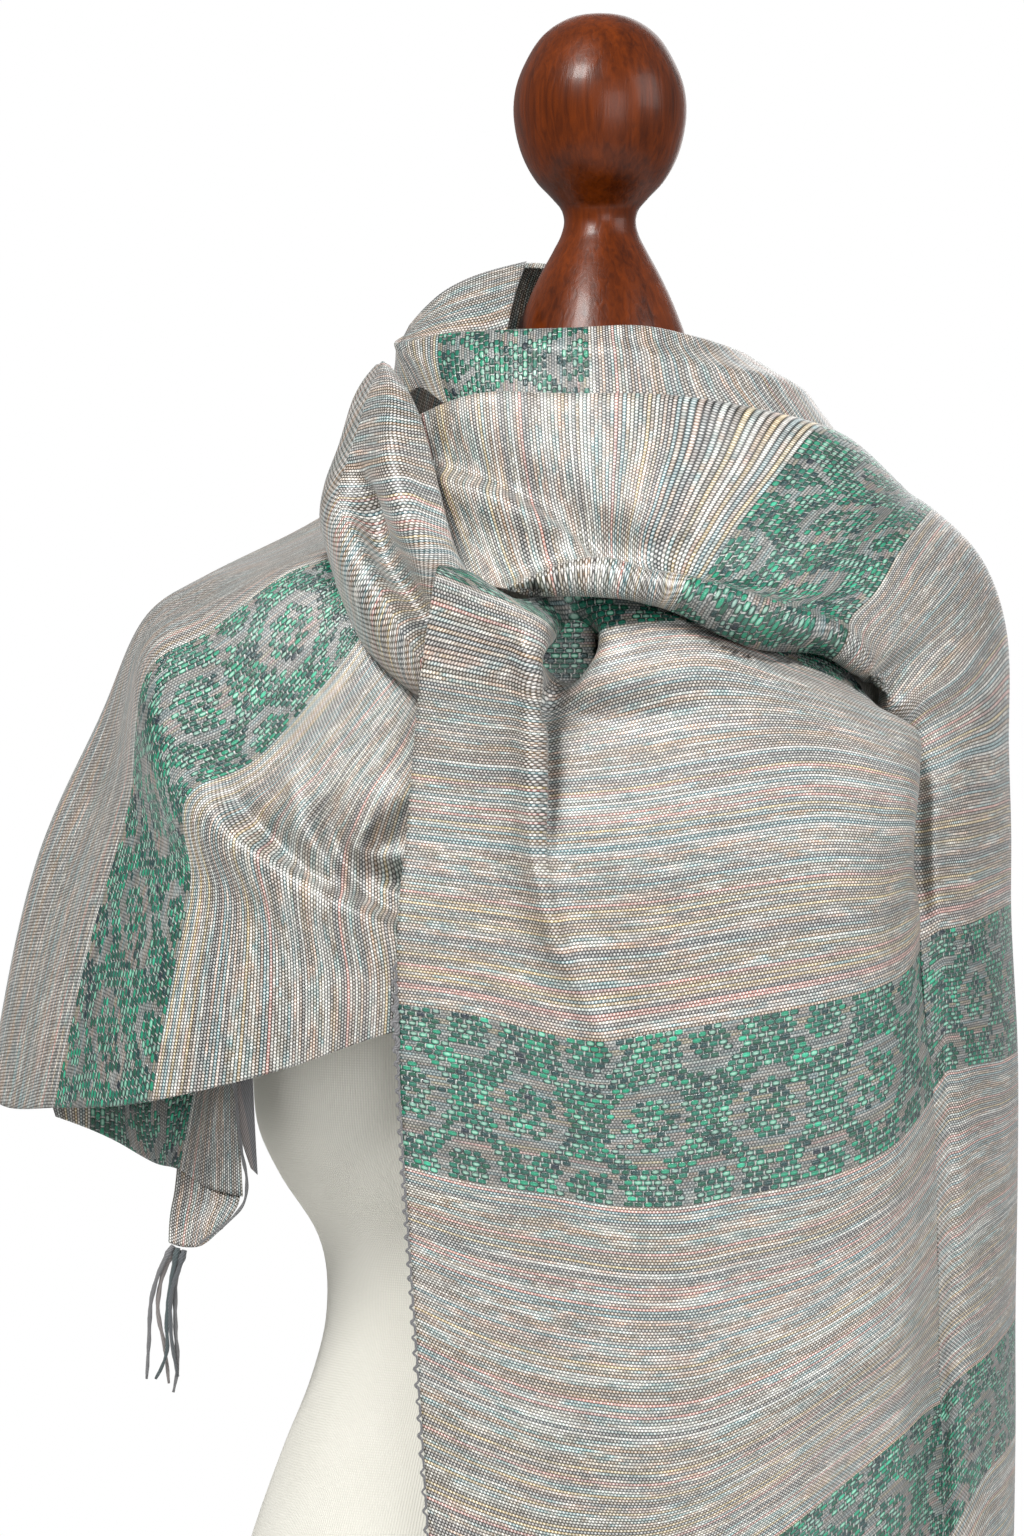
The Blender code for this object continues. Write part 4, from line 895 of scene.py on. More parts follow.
# Right drape. The stretch that comes out of the knot as a thick roll, lies over the right of
# the chest and shoulder, and hangs down the side behind the front panel. It is the same silk.
# Columns: seam, roll low, roll front, roll top, chest low, chest middle, chest top, fold, tuck.
RIGHT_DRAPE = (
    ("loop_end", 0, (-59, 781, -112), (-61, 782, -118), (-63, 786, -121), (-66, 793, -118), (-71, 806, -111),
     (-78, 824, -103), (-83, 844, -93), (-85, 860, -86), (-84, 856, -80)),
    ("left", 30, (-40, 785, -116), (-41, 784, -126), (-42, 785, -131), (-44, 790, -128), (-49, 804, -120),
     (-54, 824, -114), (-58, 847, -108), (-60, 870, -102), (-59, 864, -92)),
    ("middle", 70, (-2, 789, -117), (-3, 784, -132), (-4, 791, -140), (-4, 797, -134), (-7, 806, -122),
     (-11, 824, -117), (-14, 847, -111), (-15, 871, -104), (-14, 865, -92)),
    ("chest", 105, (19, 785, -118), (21, 778, -133), (22, 785, -141), (25, 793, -134), (20, 804, -122),
     (25, 824, -116), (32, 847, -108), (36, 870, -100), (38, 863, -86)),
    ("band1_in", 128, (33, 783, -118), (32, 775, -133), (36, 784, -140), (42, 791, -132), (51, 797, -118),
     (63, 814, -108), (79, 834, -92), (97, 856, -62), (107, 852, -20)),
    ("band1_mid", 164, (69, 766, -110), (68, 758, -125), (73, 768, -133), (79, 780, -127), (88, 788, -112),
     (101, 806, -98), (118, 824, -74), (133, 834, -25), (122, 816, 50)),
    ("band1_out", 200, (109, 754, -93), (105, 754, -108), (109, 762, -116), (113, 770, -109), (124, 782, -96),
     (136, 802, -74), (149, 819, -30), (146, 811, 30), (124, 762, 85)),
    ("shoulder", 240, (121, 736, -83), (125, 738, -92), (127, 739, -98), (134, 747, -93), (146, 762, -80),
     (160, 777, -57), (173, 795, -15), (167, 770, 45), (133, 716, 98)),
    ("arm_top", 272, (133, 718, -87), (135, 721, -88), (140, 725, -90), (145, 729, -88), (158, 737, -74),
     (171, 749, -50), (183, 764, -5), (173, 734, 60), (130, 672, 108)),
    ("arm", 302, (141, 698, -84), (144, 699, -84), (149, 701, -87), (155, 703, -84), (164, 707, -72),
     (176, 710, -46), (184, 714, 0), (173, 698, 65), (126, 644, 115)),
    ("side_high", 338, (141, 666, -85), (145, 666, -85), (150, 667, -91), (156, 668, -82), (165, 669, -70),
     (176, 672, -43), (185, 675, 0), (173, 662, 66), (124, 618, 118)),
    ("band2_top", 375, (144, 625, -93), (148, 627, -91), (153, 630, -90), (158, 631, -84), (166, 633, -72),
     (177, 638, -45), (185, 642, 0), (173, 631, 68), (122, 595, 120)),
    ("band2_low", 447, (149, 559, -89), (153, 564, -87), (156, 568, -87), (161, 569, -82), (169, 571, -70),
     (180, 573, -43), (188, 577, 0), (176, 566, 68), (121, 532, 122)),
    ("side_low", 530, (152, 491, -85), (155, 495, -83), (158, 498, -81), (162, 500, -80), (170, 507, -68),
     (181, 514, -41), (188, 521, 0), (176, 512, 66), (122, 482, 122)),
    ("band3_top", 622, (153, 419, -79), (155, 422, -78), (158, 426, -79), (163, 431, -78), (172, 438, -66),
     (182, 449, -39), (187, 458, 0), (176, 451, 64), (122, 420, 120)),
    ("band3_low", 694, (154, 354, -77), (156, 357, -76), (159, 361, -77), (163, 368, -76), (172, 384, -64),
     (182, 396, -39), (187, 405, 0), (176, 397, 62), (124, 361, 118)),
    ("hem", 760, (155, 293, -75), (157, 297, -74), (160, 301, -75), (164, 307, -74), (172, 323, -62),
     (181, 334, -37), (186, 343, 0), (176, 334, 60), (125, 298, 116)),
)

# Its folds, in the same way as the wrap's.
DRAPE_FOLDS = (
    (((-75, 843, -4), (-46, 834, -7), (-23, 822, -8), (1, 806, -6), (22, 798, -1)), 15, 4),
    (((-74, 833, 4), (-45, 824, 6), (-20, 810, 6.5), (3, 798, 4), (18, 792, 0)), 4, 12),
    (((-58, 785, 0), (-45, 791, -4), (-27, 798, -7), (0, 801, -8), (22, 799, -8), (47, 794, -7),
      (78, 785, -5), (107, 775, -2)), 9, 6),
    (((-47, 779, 0), (-36, 783, 3), (-22, 788, 5), (0, 790, 6), (29, 786, 6), (49, 782, 6),
      (78, 774, 5), (104, 763, 5), (118, 752, 4), (126, 745, 1)), 7, 7),
    (((106, 733, -3), (116, 734, -6), (126, 742, -7), (137, 749, -6), (151, 758, -3), (162, 766, 0)), 6, 7),
    (((118, 716, 0), (132, 729, 4), (146, 739, 5), (162, 747, 3), (173, 751, 0)), 9, 9),
)
DRAPE_SIDE_FOLDS = (
    (((60, 60, 0), (66, 200, 3), (70, 400, 5), (74, 600, 5), (78, 632, 5)), 9, 14),
    (((96, 40, 0), (102, 200, 3), (106, 400, 5), (110, 600, 6), (112, 632, 6)), 10, 16),
)

drape, drape_runs = stretch(RIGHT_DRAPE, 250, 130)
drape_places = cloth_places(drape, drape_runs, start=128.0)
drape = fold(drape, 1.0, DRAPE_FOLDS, face=-1.0)
drape = fold(drape, 1.0, DRAPE_SIDE_FOLDS, spots=drape_places)

# Front panel. The hanging end of the scarf: it comes out of the knot in one deep pleat, swells
# over the chest and falls straight to its fringe. Its left edge is the woven selvage.
# Columns: selvage, left, pleat crest, trough, middle 1, middle 2, right, far right, bulge, seam.
FRONT_PANEL = (
    ("top_fold", 184, (-72, 795, -140), (-58, 792, -142), (-36, 780, -131), (-20, 784, -118), (0, 785, -118),
     (40, 776, -118), (81, 762, -109), (103, 754, -97), (113, 745, -91), (116, 741, -85)),
    ("band1_low", 200, (-74, 791, -140), (-56, 784, -146), (-25, 770, -149), (-13, 758, -116), (2, 766, -130),
     (42, 769, -130), (86, 752, -122), (108, 743, -112), (125, 731, -99), (120, 730, -83)),
    ("knot_low", 230, (-81, 744, -138), (-54, 739, -146), (-29, 734, -150), (-26, 730, -136), (4, 739, -138),
     (45, 747, -140), (90, 739, -134), (120, 729, -121), (143, 719, -104), (132, 714, -86)),
    ("pleat", 262, (-84, 712, -136), (-54, 708, -144), (-30, 706, -148), (-26, 702, -141), (9, 705, -144),
     (50, 712, -147), (94, 716, -139), (123, 711, -126), (144, 702, -104), (139, 696, -84)),
    ("bust_high", 297, (-87, 676, -136), (-54, 672, -143), (-28, 669, -147), (-22, 668, -146),
     (14, 671, -148), (54, 677, -150), (99, 683, -140), (126, 681, -127), (142, 679, -104), (139, 673, -83)),
    ("bust_low", 337, (-91, 636, -138), (-54, 631, -143), (-20, 626, -148), (-10, 627, -148), (22, 629, -150),
     (63, 636, -150), (104, 642, -140), (126, 644, -127), (140, 648, -103), (143, 647, -91)),
    ("band2_top", 375, (-91, 597, -138), (-58, 592, -142), (-16, 582, -147), (0, 580, -147), (27, 584, -150),
     (63, 590, -149), (104, 598, -138), (127, 605, -124), (141, 615, -101), (145, 624, -90)),
    ("band2_low", 447, (-88, 526, -137), (-56, 518, -141), (-18, 512, -145), (4, 508, -147), (32, 507, -148),
     (63, 512, -146), (104, 521, -136), (131, 534, -121), (146, 551, -97), (151, 559, -86)),
    ("belly", 510, (-84, 469, -135), (-54, 456, -139), (-18, 446, -143), (9, 442, -146), (36, 442, -146),
     (65, 449, -143), (104, 464, -133), (132, 483, -118), (148, 501, -93), (153, 508, -83)),
    ("hip", 565, (-80, 408, -133), (-50, 395, -137), (-14, 384, -141), (14, 381, -144), (40, 384, -143),
     (70, 397, -140), (106, 420, -130), (133, 440, -115), (149, 458, -88), (154, 464, -77)),
    ("band3_top", 622, (-76, 341, -131), (-45, 329, -135), (-9, 324, -139), (18, 327, -141), (47, 338, -140),
     (79, 358, -136), (112, 384, -126), (135, 403, -112), (149, 416, -86), (155, 419, -76)),
    ("band3_low", 694, (-73, 266, -129), (-44, 255, -133), (-7, 252, -138), (20, 257, -140), (50, 268, -139),
     (81, 288, -135), (113, 315, -125), (136, 337, -111), (150, 351, -84), (156, 354, -74)),
    ("hem", 760, (-71, 201, -127), (-43, 192, -131), (-4, 192, -136), (22, 199, -138), (52, 212, -137),
     (83, 230, -133), (115, 255, -124), (138, 276, -109), (151, 290, -82), (156, 293, -72)),
)

# Its folds, in the same way as the wrap's.
FRONT_FOLDS = (
    (((-33, 757, 4), (-31, 734, 7), (-31, 724, 8), (-31, 698, 8.5), (-30, 668, 8.5), (-26, 649, 8),
      (-21, 630, 7), (-10, 606, 5.5), (1, 583, 3.5), (14, 561, 0)), 4.5, 5),
    (((-43, 739, 0), (-45, 708, -2.5), (-46, 672, -3), (-40, 640, -3), (-32, 613, -1.5),
      (-22, 595, 0)), 8, 14),
    (((-24, 740, -1), (-24, 724, -4), (-24, 698, -4), (-22, 676, -2.5), (-18, 660, 0)), 4, 4),
    (((-14, 667, 0), (-7, 655, -2), (-1, 642, -2.5), (8, 622, -1.5), (20, 600, 0)), 13, 11),
    (((-9, 764, -8), (-12, 757, -16), (-16, 751, -12)), 6, 6),
    (((-23, 732, -5), (-11, 729, -6), (4, 728, -4.5), (27, 729, -2.5), (54, 734, -1), (81, 737, 0)), 6, 8),
    (((-11, 742, 0), (4, 744, 3), (32, 747, 3), (63, 752, 1.5), (90, 757, 0)), 10, 10),
    (((18, 572, 0), (54, 518, -1.5), (90, 469, -2), (117, 428, -1)), 26, 26),
    (((51, 395, 0), (86, 420, 3), (117, 442, 3.4), (146, 464, 1)), 16, 12),
)

front, front_runs = stretch(FRONT_PANEL, 200, 130)
front_places = cloth_places(front, front_runs, start=128.0)
front = fold(front, 1.0, FRONT_FOLDS, face=-1.0)

# Knot loop. The short stretch that is drawn tight over the knot, from the collar down to the
# head of the front panel. It is creased along its length.
# Columns: back left, left outline, left lobe, crease, right lobe, right edge, under.
KNOT_LOOP = (
    ("tip", 0, (-98, 882, -30), (-101, 885, -38), (-99, 886, -46), (-98, 887, -52),
     (-96, 886, -56), (-94, 884, -54), (-94, 881, -50)),
    ("neck", 18, (-103, 867, -40), (-111, 870, -55), (-106, 871, -74), (-100, 873, -86),
     (-92, 873, -94), (-84, 869, -92), (-83, 866, -88)),
    ("high", 38, (-112, 846, -50), (-118, 848, -66), (-113, 850, -88), (-105, 852, -102),
     (-92, 852, -118), (-78, 851, -114), (-77, 848, -110)),
    ("crease", 56, (-116, 828, -56), (-124, 831, -74), (-119, 832, -96), (-111, 833, -106),
     (-93, 834, -128), (-73, 830, -122), (-72, 826, -118)),
    ("middle", 74, (-118, 810, -62), (-126, 814, -82), (-119, 816, -106), (-104, 817, -112),
     (-85, 816, -134), (-68, 811, -130), (-67, 806, -126)),
    ("belly", 92, (-114, 793, -70), (-122, 798, -92), (-112, 801, -118), (-95, 804, -120),
     (-77, 801, -136), (-65, 799, -132), (-60, 793, -128)),
    ("low", 112, (-109, 774, -80), (-116, 780, -102), (-104, 784, -126), (-88, 789, -126),
     (-74, 788, -134), (-61, 784, -133), (-54, 780, -130)),
    ("under", 132, (-99, 755, -92), (-106, 759, -112), (-94, 765, -130), (-82, 773, -130),
     (-71, 774, -133), (-58, 773, -134), (-52, 768, -132)),
    ("taper", 148, (-85, 739, -104), (-91, 744, -120), (-83, 750, -132), (-76, 757, -132),
     (-68, 759, -133), (-58, 759, -134), (-51, 757, -133)),
    ("end", 160, (-72, 729, -116), (-77, 734, -126), (-72, 739, -132), (-68, 743, -132),
     (-62, 745, -133), (-56, 746, -134), (-51, 745, -133)),
)

# Its folds, in the same way as the wrap's.
LOOP_FOLDS = (
    (((-112, 845, 0), (-108, 829, -6), (-100, 806, -10), (-88, 785, -10), (-77, 767, -7)), 4.5, 4),
    (((-117, 834, 0), (-112, 809, 4), (-103, 785, 6), (-90, 764, 3)), 6, 9),
    (((-98, 872, 0), (-91, 838, 4), (-85, 811, 5), (-76, 788, 2)), 7, 7),
)

loop, loop_runs = stretch(KNOT_LOOP, 84, 64)
loop_places = cloth_places(loop, loop_runs, start=-80.0)
loop_places[..., 1] += 1.2 * np.minimum(loop_places[..., 0], 0.0)
loop = fold(loop, 1.0, LOOP_FOLDS, face=-1.0)

# Collar. The turn of the scarf round the neck, which stands up behind and lies over both
# shoulders, with a small corner turned out at the left.
# Columns of the collar: inner, top edge, upper, middle, low. Lines of the corner: lower to upper.
COLLAR = (
    ("corner", 0, (-83, 892, -20), (-90, 895, -22), (-90, 891, -26),
     (-87, 885, -34), (-82, 875, -46)),
    ("band_start", 22, (-70, 894, -38), (-72, 899, -42), (-73, 892, -50),
     (-72, 882, -58), (-68, 867, -64)),
    ("band_mid", 52, (-45, 896, -56), (-45, 901, -62), (-45, 894, -70),
     (-45, 882, -76), (-44, 865, -82)),
    ("band_end", 85, (-14, 897, -66), (-14, 902, -72), (-14, 896, -79),
     (-14, 883, -84), (-14, 864, -88)),
    ("front", 117, (18, 898, -62), (18, 903, -68), (19, 896, -76),
     (22, 882, -82), (25, 864, -85)),
    ("front_right", 147, (40, 894, -48), (43, 898, -54), (47, 892, -60),
     (55, 880, -66), (65, 866, -66)),
    ("right_fore", 183, (55, 891, -22), (61, 892, -26), (68, 888, -28),
     (84, 876, -34), (101, 851, -34)),
    ("right", 218, (58, 891, 10), (62, 890, 12), (72, 885, 14),
     (93, 870, 16), (112, 845, 16)),
    ("right_back", 258, (47, 892, 42), (50, 892, 46), (58, 885, 55),
     (74, 870, 68), (88, 847, 76)),
    ("back", 298, (18, 908, 56), (20, 910, 62), (25, 902, 72),
     (32, 878, 84), (38, 847, 92)),
    ("back_left", 332, (-11, 926, 58), (-11, 928, 65), (-13, 914, 76),
     (-14, 883, 88), (-16, 847, 95)),
    ("left_back", 364, (-36, 929, 50), (-35, 931, 56), (-40, 919, 70),
     (-47, 888, 84), (-54, 847, 90)),
    ("left", 402, (-59, 916, 28), (-63, 919, 34), (-70, 906, 44),
     (-79, 883, 55), (-88, 847, 62)),
    ("left_fore", 436, (-77, 902, 0), (-82, 903, 2), (-86, 894, 8),
     (-94, 874, 14), (-101, 847, 18)),
)
COLLAR_FLAP = (
    ((-90, 895, -24), (-78, 896, -34), (-65, 897, -42), (-52, 898, -47), (-42, 901, -48)),
    ((-88, 899, -18), (-77, 905, -24), (-64, 910, -26), (-50, 914, -22), (-38, 918, -14)),
    ((-86, 903, -12), (-78, 912, -10), (-68, 920, -6), (-52, 927, 4), (-33, 932, 16)),
)

# Folds of the collar, by their own places on the cloth: (across, along, rise).
COLLAR_FOLDS = (
    (((-10, 0, 0), (-6, 60, 1.5), (2, 130, 2.0), (8, 200, 1.0), (4, 280, 2.0), (-4, 380, 1.5),
      (-8, 440, 0)), 6, 6),
)

collar, collar_runs = stretch(COLLAR, 190, 36, ring=True)
collar_places = cloth_places(collar, collar_runs, start=22.0)
collar = fold(collar, -1.0, COLLAR_FOLDS, spots=collar_places)
flap_lines = np.swapaxes(spline(place(COLLAR_FLAP), (0, 1, 2), np.linspace(0.0, 2.0, 17)), 0, 1)
flap = np.swapaxes(spline(flap_lines, (0, 13, 26, 39, 49), np.linspace(0.0, 49.0, 33)), 0, 1)
flap_places = cloth_places(flap, np.linspace(0.0, 32.0, 17), start=-90.0)

# Tail. The other end of the scarf, which hangs out from under the wrap at the left. A grey
# yarn runs round its edge, and one corner carries its own few strands.
# Columns: top, middle, low, bottom.
TAIL = (
    ("arm_side", 0, (-252, 618, 20), (-250, 582, 15), (-248, 559, 10), (-245, 547, 5)),
    ("band_back", 30, (-220, 618, -20), (-220, 582, -22), (-218, 554, -24), (-218, 536, -25)),
    ("band_mid", 60, (-196, 618, -35), (-198, 577, -38), (-203, 550, -40), (-200, 526, -42)),
    ("band_fore", 90, (-176, 618, -45), (-179, 582, -48), (-184, 550, -50), (-189, 523, -50)),
    ("plain", 110, (-168, 618, -60), (-170, 577, -62), (-174, 550, -64), (-176, 515, -60)),
    ("end", 130, (-162, 618, -70), (-165, 577, -72), (-163, 545, -73), (-161, 511, -66)),
)

# The corner below the tail's fold, turned over. Columns from the fold down to the lower edge.
TAIL_TURN = (
    ("left", 90, (-190, 524, -49), (-191, 514, -50), (-193, 503, -52), (-194, 490, -58)),
    ("middle", 102, (-181, 519, -56), (-182, 510, -58), (-184, 501, -60), (-186, 488, -62)),
    ("right", 114, (-172, 514, -60), (-173, 508, -63), (-176, 500, -64), (-179, 489, -64)),
    ("tip", 126, (-162, 511, -65), (-163, 507, -66), (-166, 502, -67), (-170, 497, -66)),
)

tail, tail_runs = stretch(TAIL, 52, 44)
tail_places = cloth_places(tail, tail_runs, start=18.0)
tail_turn, turn_runs = stretch(TAIL_TURN, 24, 20)
tail_turn[..., 1] += 1.8
turn_places = cloth_places(tail_turn, turn_runs, start=18.0)

# The cloth laid together: each stretch lies over the one that it covers and behind the one in
# front of it, with a hair's breadth between. Then each gets its wall, its silk and its cut size.
# A layer's gap is counted from outer side to outer side, so it holds one wall and the air.
FORM_GAP = 2.4
BEHIND_GAP = 1.6


def under_roll(p):
    """Where the panel's head lies behind the drape's roll."""
    return (p[:, 0] > -8.0) & (p[:, 0] < 113.0) & (p[:, 2] > 736.0)


def in_front(p):
    """The half of the form that faces the camera."""
    return p[:, 1] < 0.0


wrap = lift(wrap, torso, -1.0, FORM_GAP + 1.0)
tail = lift(tail, torso, -1.0, FORM_GAP)
tail = tuck(tail, wrap, 1.9)
collar = lift(collar, torso, -1.0, FORM_GAP)
collar = lift(collar, wrap, 1.0, FORM_GAP)
drape = lift(drape, torso, -1.0, FORM_GAP)
drape = lift(drape, wrap, 1.0, 3.2)
drape = lift(drape, collar, -1.0, 2.3, where=lambda p: p[:, 0] > 70.0)
front = lift(front, torso, -1.0, FORM_GAP)
loop = lift(loop, wrap, 1.0, 2.2)
loop = lift(loop, collar, -1.0, 2.2)
loop = tuck(loop, front, BEHIND_GAP)
front = tuck(front, drape, BEHIND_GAP, where=under_roll)
drape = tuck(drape, loop, BEHIND_GAP, where=lambda p: p[:, 0] < -50.0)
drape = tuck(drape, front, BEHIND_GAP, where=lambda p: p[:, 0] < -28.0)
for cover in (loop, front, drape):
    wrap = tuck(wrap, cover, BEHIND_GAP, where=in_front)

striped_silk = silk("striped_silk")
shoulder_wrap = sheet_piece("wrap_cloth", wrap, wrap_places, striped_silk, flip=True)
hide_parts("shoulder_wrap")
right_drape = sheet_piece("drape_cloth", drape, drape_places, striped_silk, flip=True)
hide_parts("right_drape")
front_panel = sheet_piece("panel_cloth", front, front_places, striped_silk, flip=True)
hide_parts("front_panel")
knot_loop = sheet_piece("loop_cloth", loop, loop_places, striped_silk, flip=True)
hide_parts("knot_loop")
neck_collar = sheet_piece("collar_cloth", collar, collar_places, striped_silk)
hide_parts("collar")
turned_corner = sheet_piece("corner_cloth", flap, flap_places, striped_silk)
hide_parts("collar_flap")
hanging_tail = sheet_piece("tail_cloth", tail, tail_places, striped_silk)
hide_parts("tail")

corner_turn = sheet_piece("tail_turned_corner", tail_turn, turn_places, striped_silk, flip=True)

# Fringes. The warp ends are left long at both ends of the scarf, and twisted in pairs into
# soft grey strands of 2.3 mm, each with a small knot close to the cloth.
# In millimetres: from strand to strand, a strand's length, one turn of its twist, and its own
# share of the pattern. The slanting fibres lie this far apart round it and along it, in metres.
STRAND_PITCH = 6.0
STRAND_LENGTH = 66.0
STRAND_TURN = 22.0
STRAND_SHARE = 10.0
FIBRE_ROUND = 0.0009
FIBRE_ALONG = 0.0016
TAIL_STRANDS = (
    ((-192, 489), (-198, 478), (-202, 464), (-203, 446), (-204, 429)),
    ((-191, 488), (-197, 475), (-199, 460), (-196, 444), (-194, 427)),
    ((-190, 488), (-193, 473), (-195, 456), (-195, 441), (-200, 429)),
    ((-189, 487), (-191, 471), (-191, 451), (-190, 436), (-192, 423)),
    ((-187, 487), (-189, 480), (-193, 467), (-193, 449), (-190, 430)),
)
TAIL_DEPTHS = (-63.0, -61.5, -64.0, -62.0, -64.5)


def hanging(edge, length):
    """Middle lines of strands below an edge, a pitch apart: root, drop, and a sway from sines."""
    run = np.concatenate(([0.0], np.cumsum(np.linalg.norm(np.diff(edge, axis=0), axis=1))))
    count = int(run[-1] / STRAND_PITCH)
    root = spline(edge, run, (np.arange(count) + 0.5) * run[-1] / count)
    ahead = np.gradient(root, axis=0)
    ahead /= np.linalg.norm(ahead, axis=1)[:, None]
    out = np.cross(ahead, (0.0, 0.0, 1.0))
    number = np.arange(count)
    s = np.linspace(0.0, 1.0, 22)
    long = length * (0.93 + 0.07 * np.sin(number * 4.1))
    sway = (3.0 * np.sin(number * 2.4))[:, None] * s**2
    sway = sway + (1.2 * np.sin(number * 5.3))[:, None] * np.sin(3.0 * np.pi * s)
    swing = (2.0 * np.cos(number * 1.7))[:, None] * s**2
    line = root[:, None, :] + ahead[:, None, :] * sway[..., None] + out[:, None, :] * swing[..., None]
    line[..., 2] -= 0.6 + long[:, None] * s
    return line


def strands(name, lines, look, thick=1.15, sides=7):
    """Twisted strands on their middle lines: a tube of radius thick * (1 + 0.2 * cos(2 * (turn -
    twist * run))), thicker at its knot and thinner at its tip, closed at both ends."""
    count, rings = lines.shape[:2]
    ahead = np.gradient(lines, axis=1)
    ahead /= np.linalg.norm(ahead, axis=2, keepdims=True)
    side = np.cross(ahead, (0.0, 1.0, 0.0))
    side /= np.linalg.norm(side, axis=2, keepdims=True)
    out = np.cross(side, ahead)
    run = np.cumsum(np.linalg.norm(np.diff(lines, axis=1, prepend=lines[:, :1]), axis=2), axis=1)
    s = run / run[:, -1:]
    turn = np.linspace(0.0, 2.0 * np.pi, sides + 1)
    size = thick * (1.0 - 0.35 * s**3) + 0.8 * np.exp(-((s - 0.07) / 0.035) ** 2)
    twist = 2.0 * np.pi * run / STRAND_TURN
    radius = size[..., None] * (1.0 + 0.2 * np.cos(2.0 * turn - 2.0 * twist[..., None]))
    points = (lines[:, :, None, :] + (radius * np.cos(turn))[..., None] * side[:, :, None, :]
              + (radius * np.sin(turn))[..., None] * out[:, :, None, :])
    first = (np.arange(count) * rings * (sides + 1))[:, None]
    faces = (quads(rings, sides + 1, flip=True)[None] + first[:, :, None]).reshape(-1, 4).tolist()
    faces += (first + np.arange(sides + 1)).tolist()
    faces += (first + (rings - 1) * (sides + 1) + np.arange(sides + 1))[:, ::-1].tolist()
    round_at = turn * thick + STRAND_SHARE * np.arange(count)[:, None, None]
    places = np.stack(np.broadcast_arrays(round_at, run[..., None]), axis=-1)
    made = piece(name, points.reshape(-1, 3), faces, look, places.reshape(-1, 2))
    close_seam(made)
    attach(made, "root")
    return made


def twisted_yarn():
    """Grey silk yarn, its tone by the strand: fine slanting fibres, with painted light on the proud fibres
    and painted shade between them.
    """
    look, tree, shader = finish("fringe_yarn", 0.6, Sheen_Weight=0.3)
    parts = tree.nodes.new("ShaderNodeSeparateXYZ")
    tree.links.new(cloth_uv(tree), parts.inputs[0])
    slant = math(tree, "ADD", math(tree, "MULTIPLY", parts.outputs[0], 2 * np.pi / FIBRE_ROUND),
                 math(tree, "MULTIPLY", parts.outputs[1], 2 * np.pi / FIBRE_ALONG))
    fibres = math(tree, "MULTIPLY_ADD", math(tree, "SINE", slant), 0.5, 0.5)
    number = math(tree, "FLOOR", math(tree, "DIVIDE", parts.outputs[0], STRAND_SHARE * MM))
    tone = hashed(tree, number, seed=7.0)
    base = steps_of(tree, tone, (
        paint(84, 88, 92), paint(112, 112, 114), paint(70, 82, 84), paint(132, 126, 124),
    ))
    # Painted light and shade: the colour is lighter on the proud fibres and darker between them.
    lit = math(tree, "MULTIPLY_ADD", fibres, 0.6, 0.7)
    tree.links.new(blend(tree, 1.0, base, lit, "MULTIPLY"), shader.inputs["Base Color"])
    relief(tree, shader, fibres, 0.0002)
    return look


yarn = twisted_yarn()
front_fringe = strands("panel_fringe", hanging(front[-1, :-3], STRAND_LENGTH), yarn)
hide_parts("front_fringe")
side_fringe = strands("drape_fringe", hanging(drape[-1, 32:], STRAND_LENGTH), yarn)
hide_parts("side_fringe")
tail_bends = np.array(TAIL_STRANDS, float)
tail_depths = np.broadcast_to(np.array(TAIL_DEPTHS)[:, None, None], tail_bends.shape[:2] + (1,))
tail_bends = np.swapaxes(np.concatenate((tail_bends, tail_depths), axis=2), 0, 1)
tail_lines = np.swapaxes(spline(tail_bends, np.arange(5.0), np.linspace(0.0, 4.0, 24)), 0, 1)
tail_fringe = strands("tail_strands", place(tail_lines), yarn, thick=1.0)
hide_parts("tail_fringe")

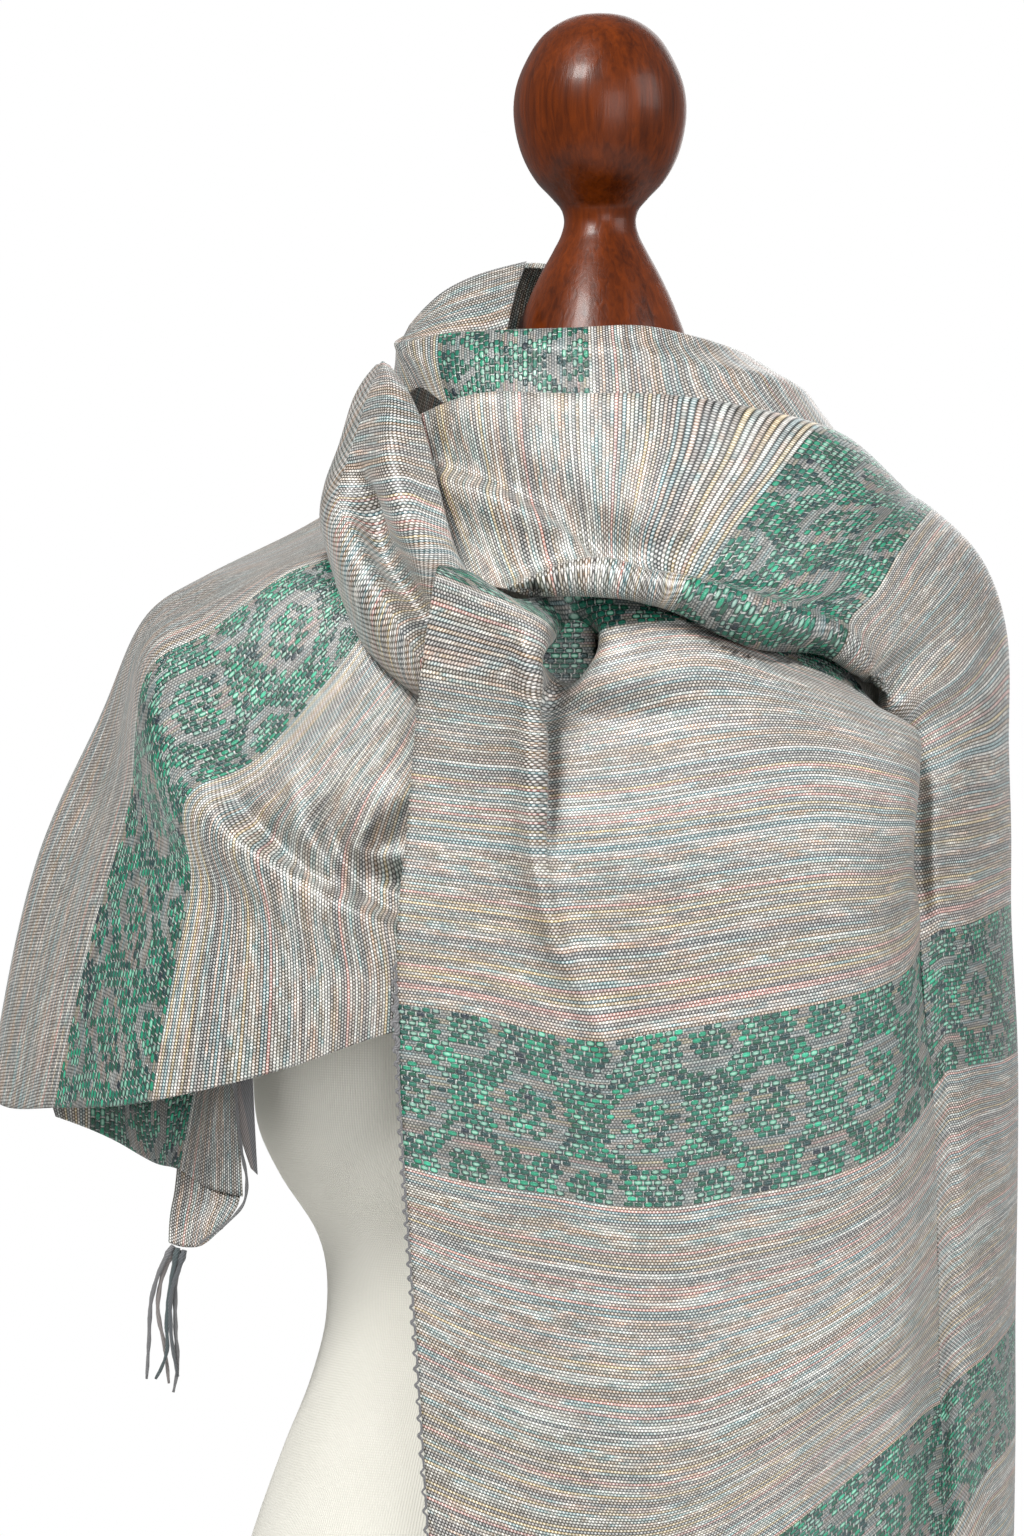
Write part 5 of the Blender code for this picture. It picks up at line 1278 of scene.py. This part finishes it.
# Cloth in the hollow. Deep beside the pleat, a bit of the same silk shows its green band, where
# the panel's head is gathered behind itself.
# Columns: left, middle left, middle right, right.
HOLLOW_CLOTH = (
    ("top", 0, (-32, 778, -113), (-22, 779, -113), (-12, 779, -112), (-2, 778, -111)),
    ("high", 13, (-32, 766, -116), (-22, 766, -115), (-12, 766, -113), (-2, 766, -111)),
    ("low", 26, (-32, 753, -118), (-22, 753, -117), (-12, 753, -115), (-2, 753, -113)),
    ("end", 39, (-32, 740, -119), (-22, 740, -118), (-12, 740, -117), (-2, 740, -115)),
)
hollow, hollow_runs = stretch(HOLLOW_CLOTH, 18, 14)
hollow_places = cloth_places(hollow, hollow_runs, start=-18.0)
hollow_cloth = sheet_piece("hollow_cloth", hollow, hollow_places, striped_silk, flip=True)

# Woven edge of the panel. The outermost warp end, of thicker grey yarn, runs down it, and the
# turns of the weft push it out into small loops: out = 0.35 + 1.5 * |sin(pi * loops * run)|^9.
EDGE_POINTS = 900
EDGE_LOOPS = 62.0
edge_at = np.linspace(0.30, 1.0, EDGE_POINTS) * (len(front) - 1)
edge_line = spline(front[:, 0], np.arange(len(front)), edge_at)
edge_turns = np.linspace(0.0, EDGE_LOOPS * np.pi, EDGE_POINTS)
edge_line[:, 0] -= 0.35 + 1.5 * np.abs(np.sin(edge_turns)) ** 9
edge_line[:, 1] += 0.3
panel_edge = strands("panel_edge_cord", edge_line[None], yarn, thick=0.62, sides=6)

# Edge of the tail. The same yarn binds its end and lower corner, and a narrow strip of the
# layer behind it shows beside its upper part.
# Points of the yarn, then the strip's columns from left to right.
TAIL_EDGE = (
    (-166, 570, -74), (-164, 558, -75), (-163, 545, -75), (-161, 530, -73), (-159, 519, -69),
    (-160, 509, -67), (-165, 502, -67), (-172, 496, -66), (-180, 490, -65),
)
tail_edge_line = spline(place(TAIL_EDGE), np.arange(9.0), np.linspace(0.0, 8.0, 90))
tail_edge = strands("tail_edge_cord", tail_edge_line[None], yarn, thick=0.75, sides=6)
TAIL_BEHIND = (
    ("top", 0, (-169, 580, -68), (-165, 580, -69), (-161, 580, -70), (-157, 580, -71)),
    ("high", 20, (-166, 560, -70), (-163, 560, -71), (-160, 560, -71), (-156, 560, -72)),
    ("low", 40, (-162, 540, -70), (-159, 540, -71), (-157, 539, -71), (-155, 538, -71)),
    ("tip", 58, (-157, 524, -69), (-156, 523, -69), (-155, 522, -69), (-154, 521, -69)),
)
behind, behind_runs = stretch(TAIL_BEHIND, 24, 8)
tail_behind = sheet_piece("tail_strip_behind", behind, cloth_places(behind, behind_runs), yarn)
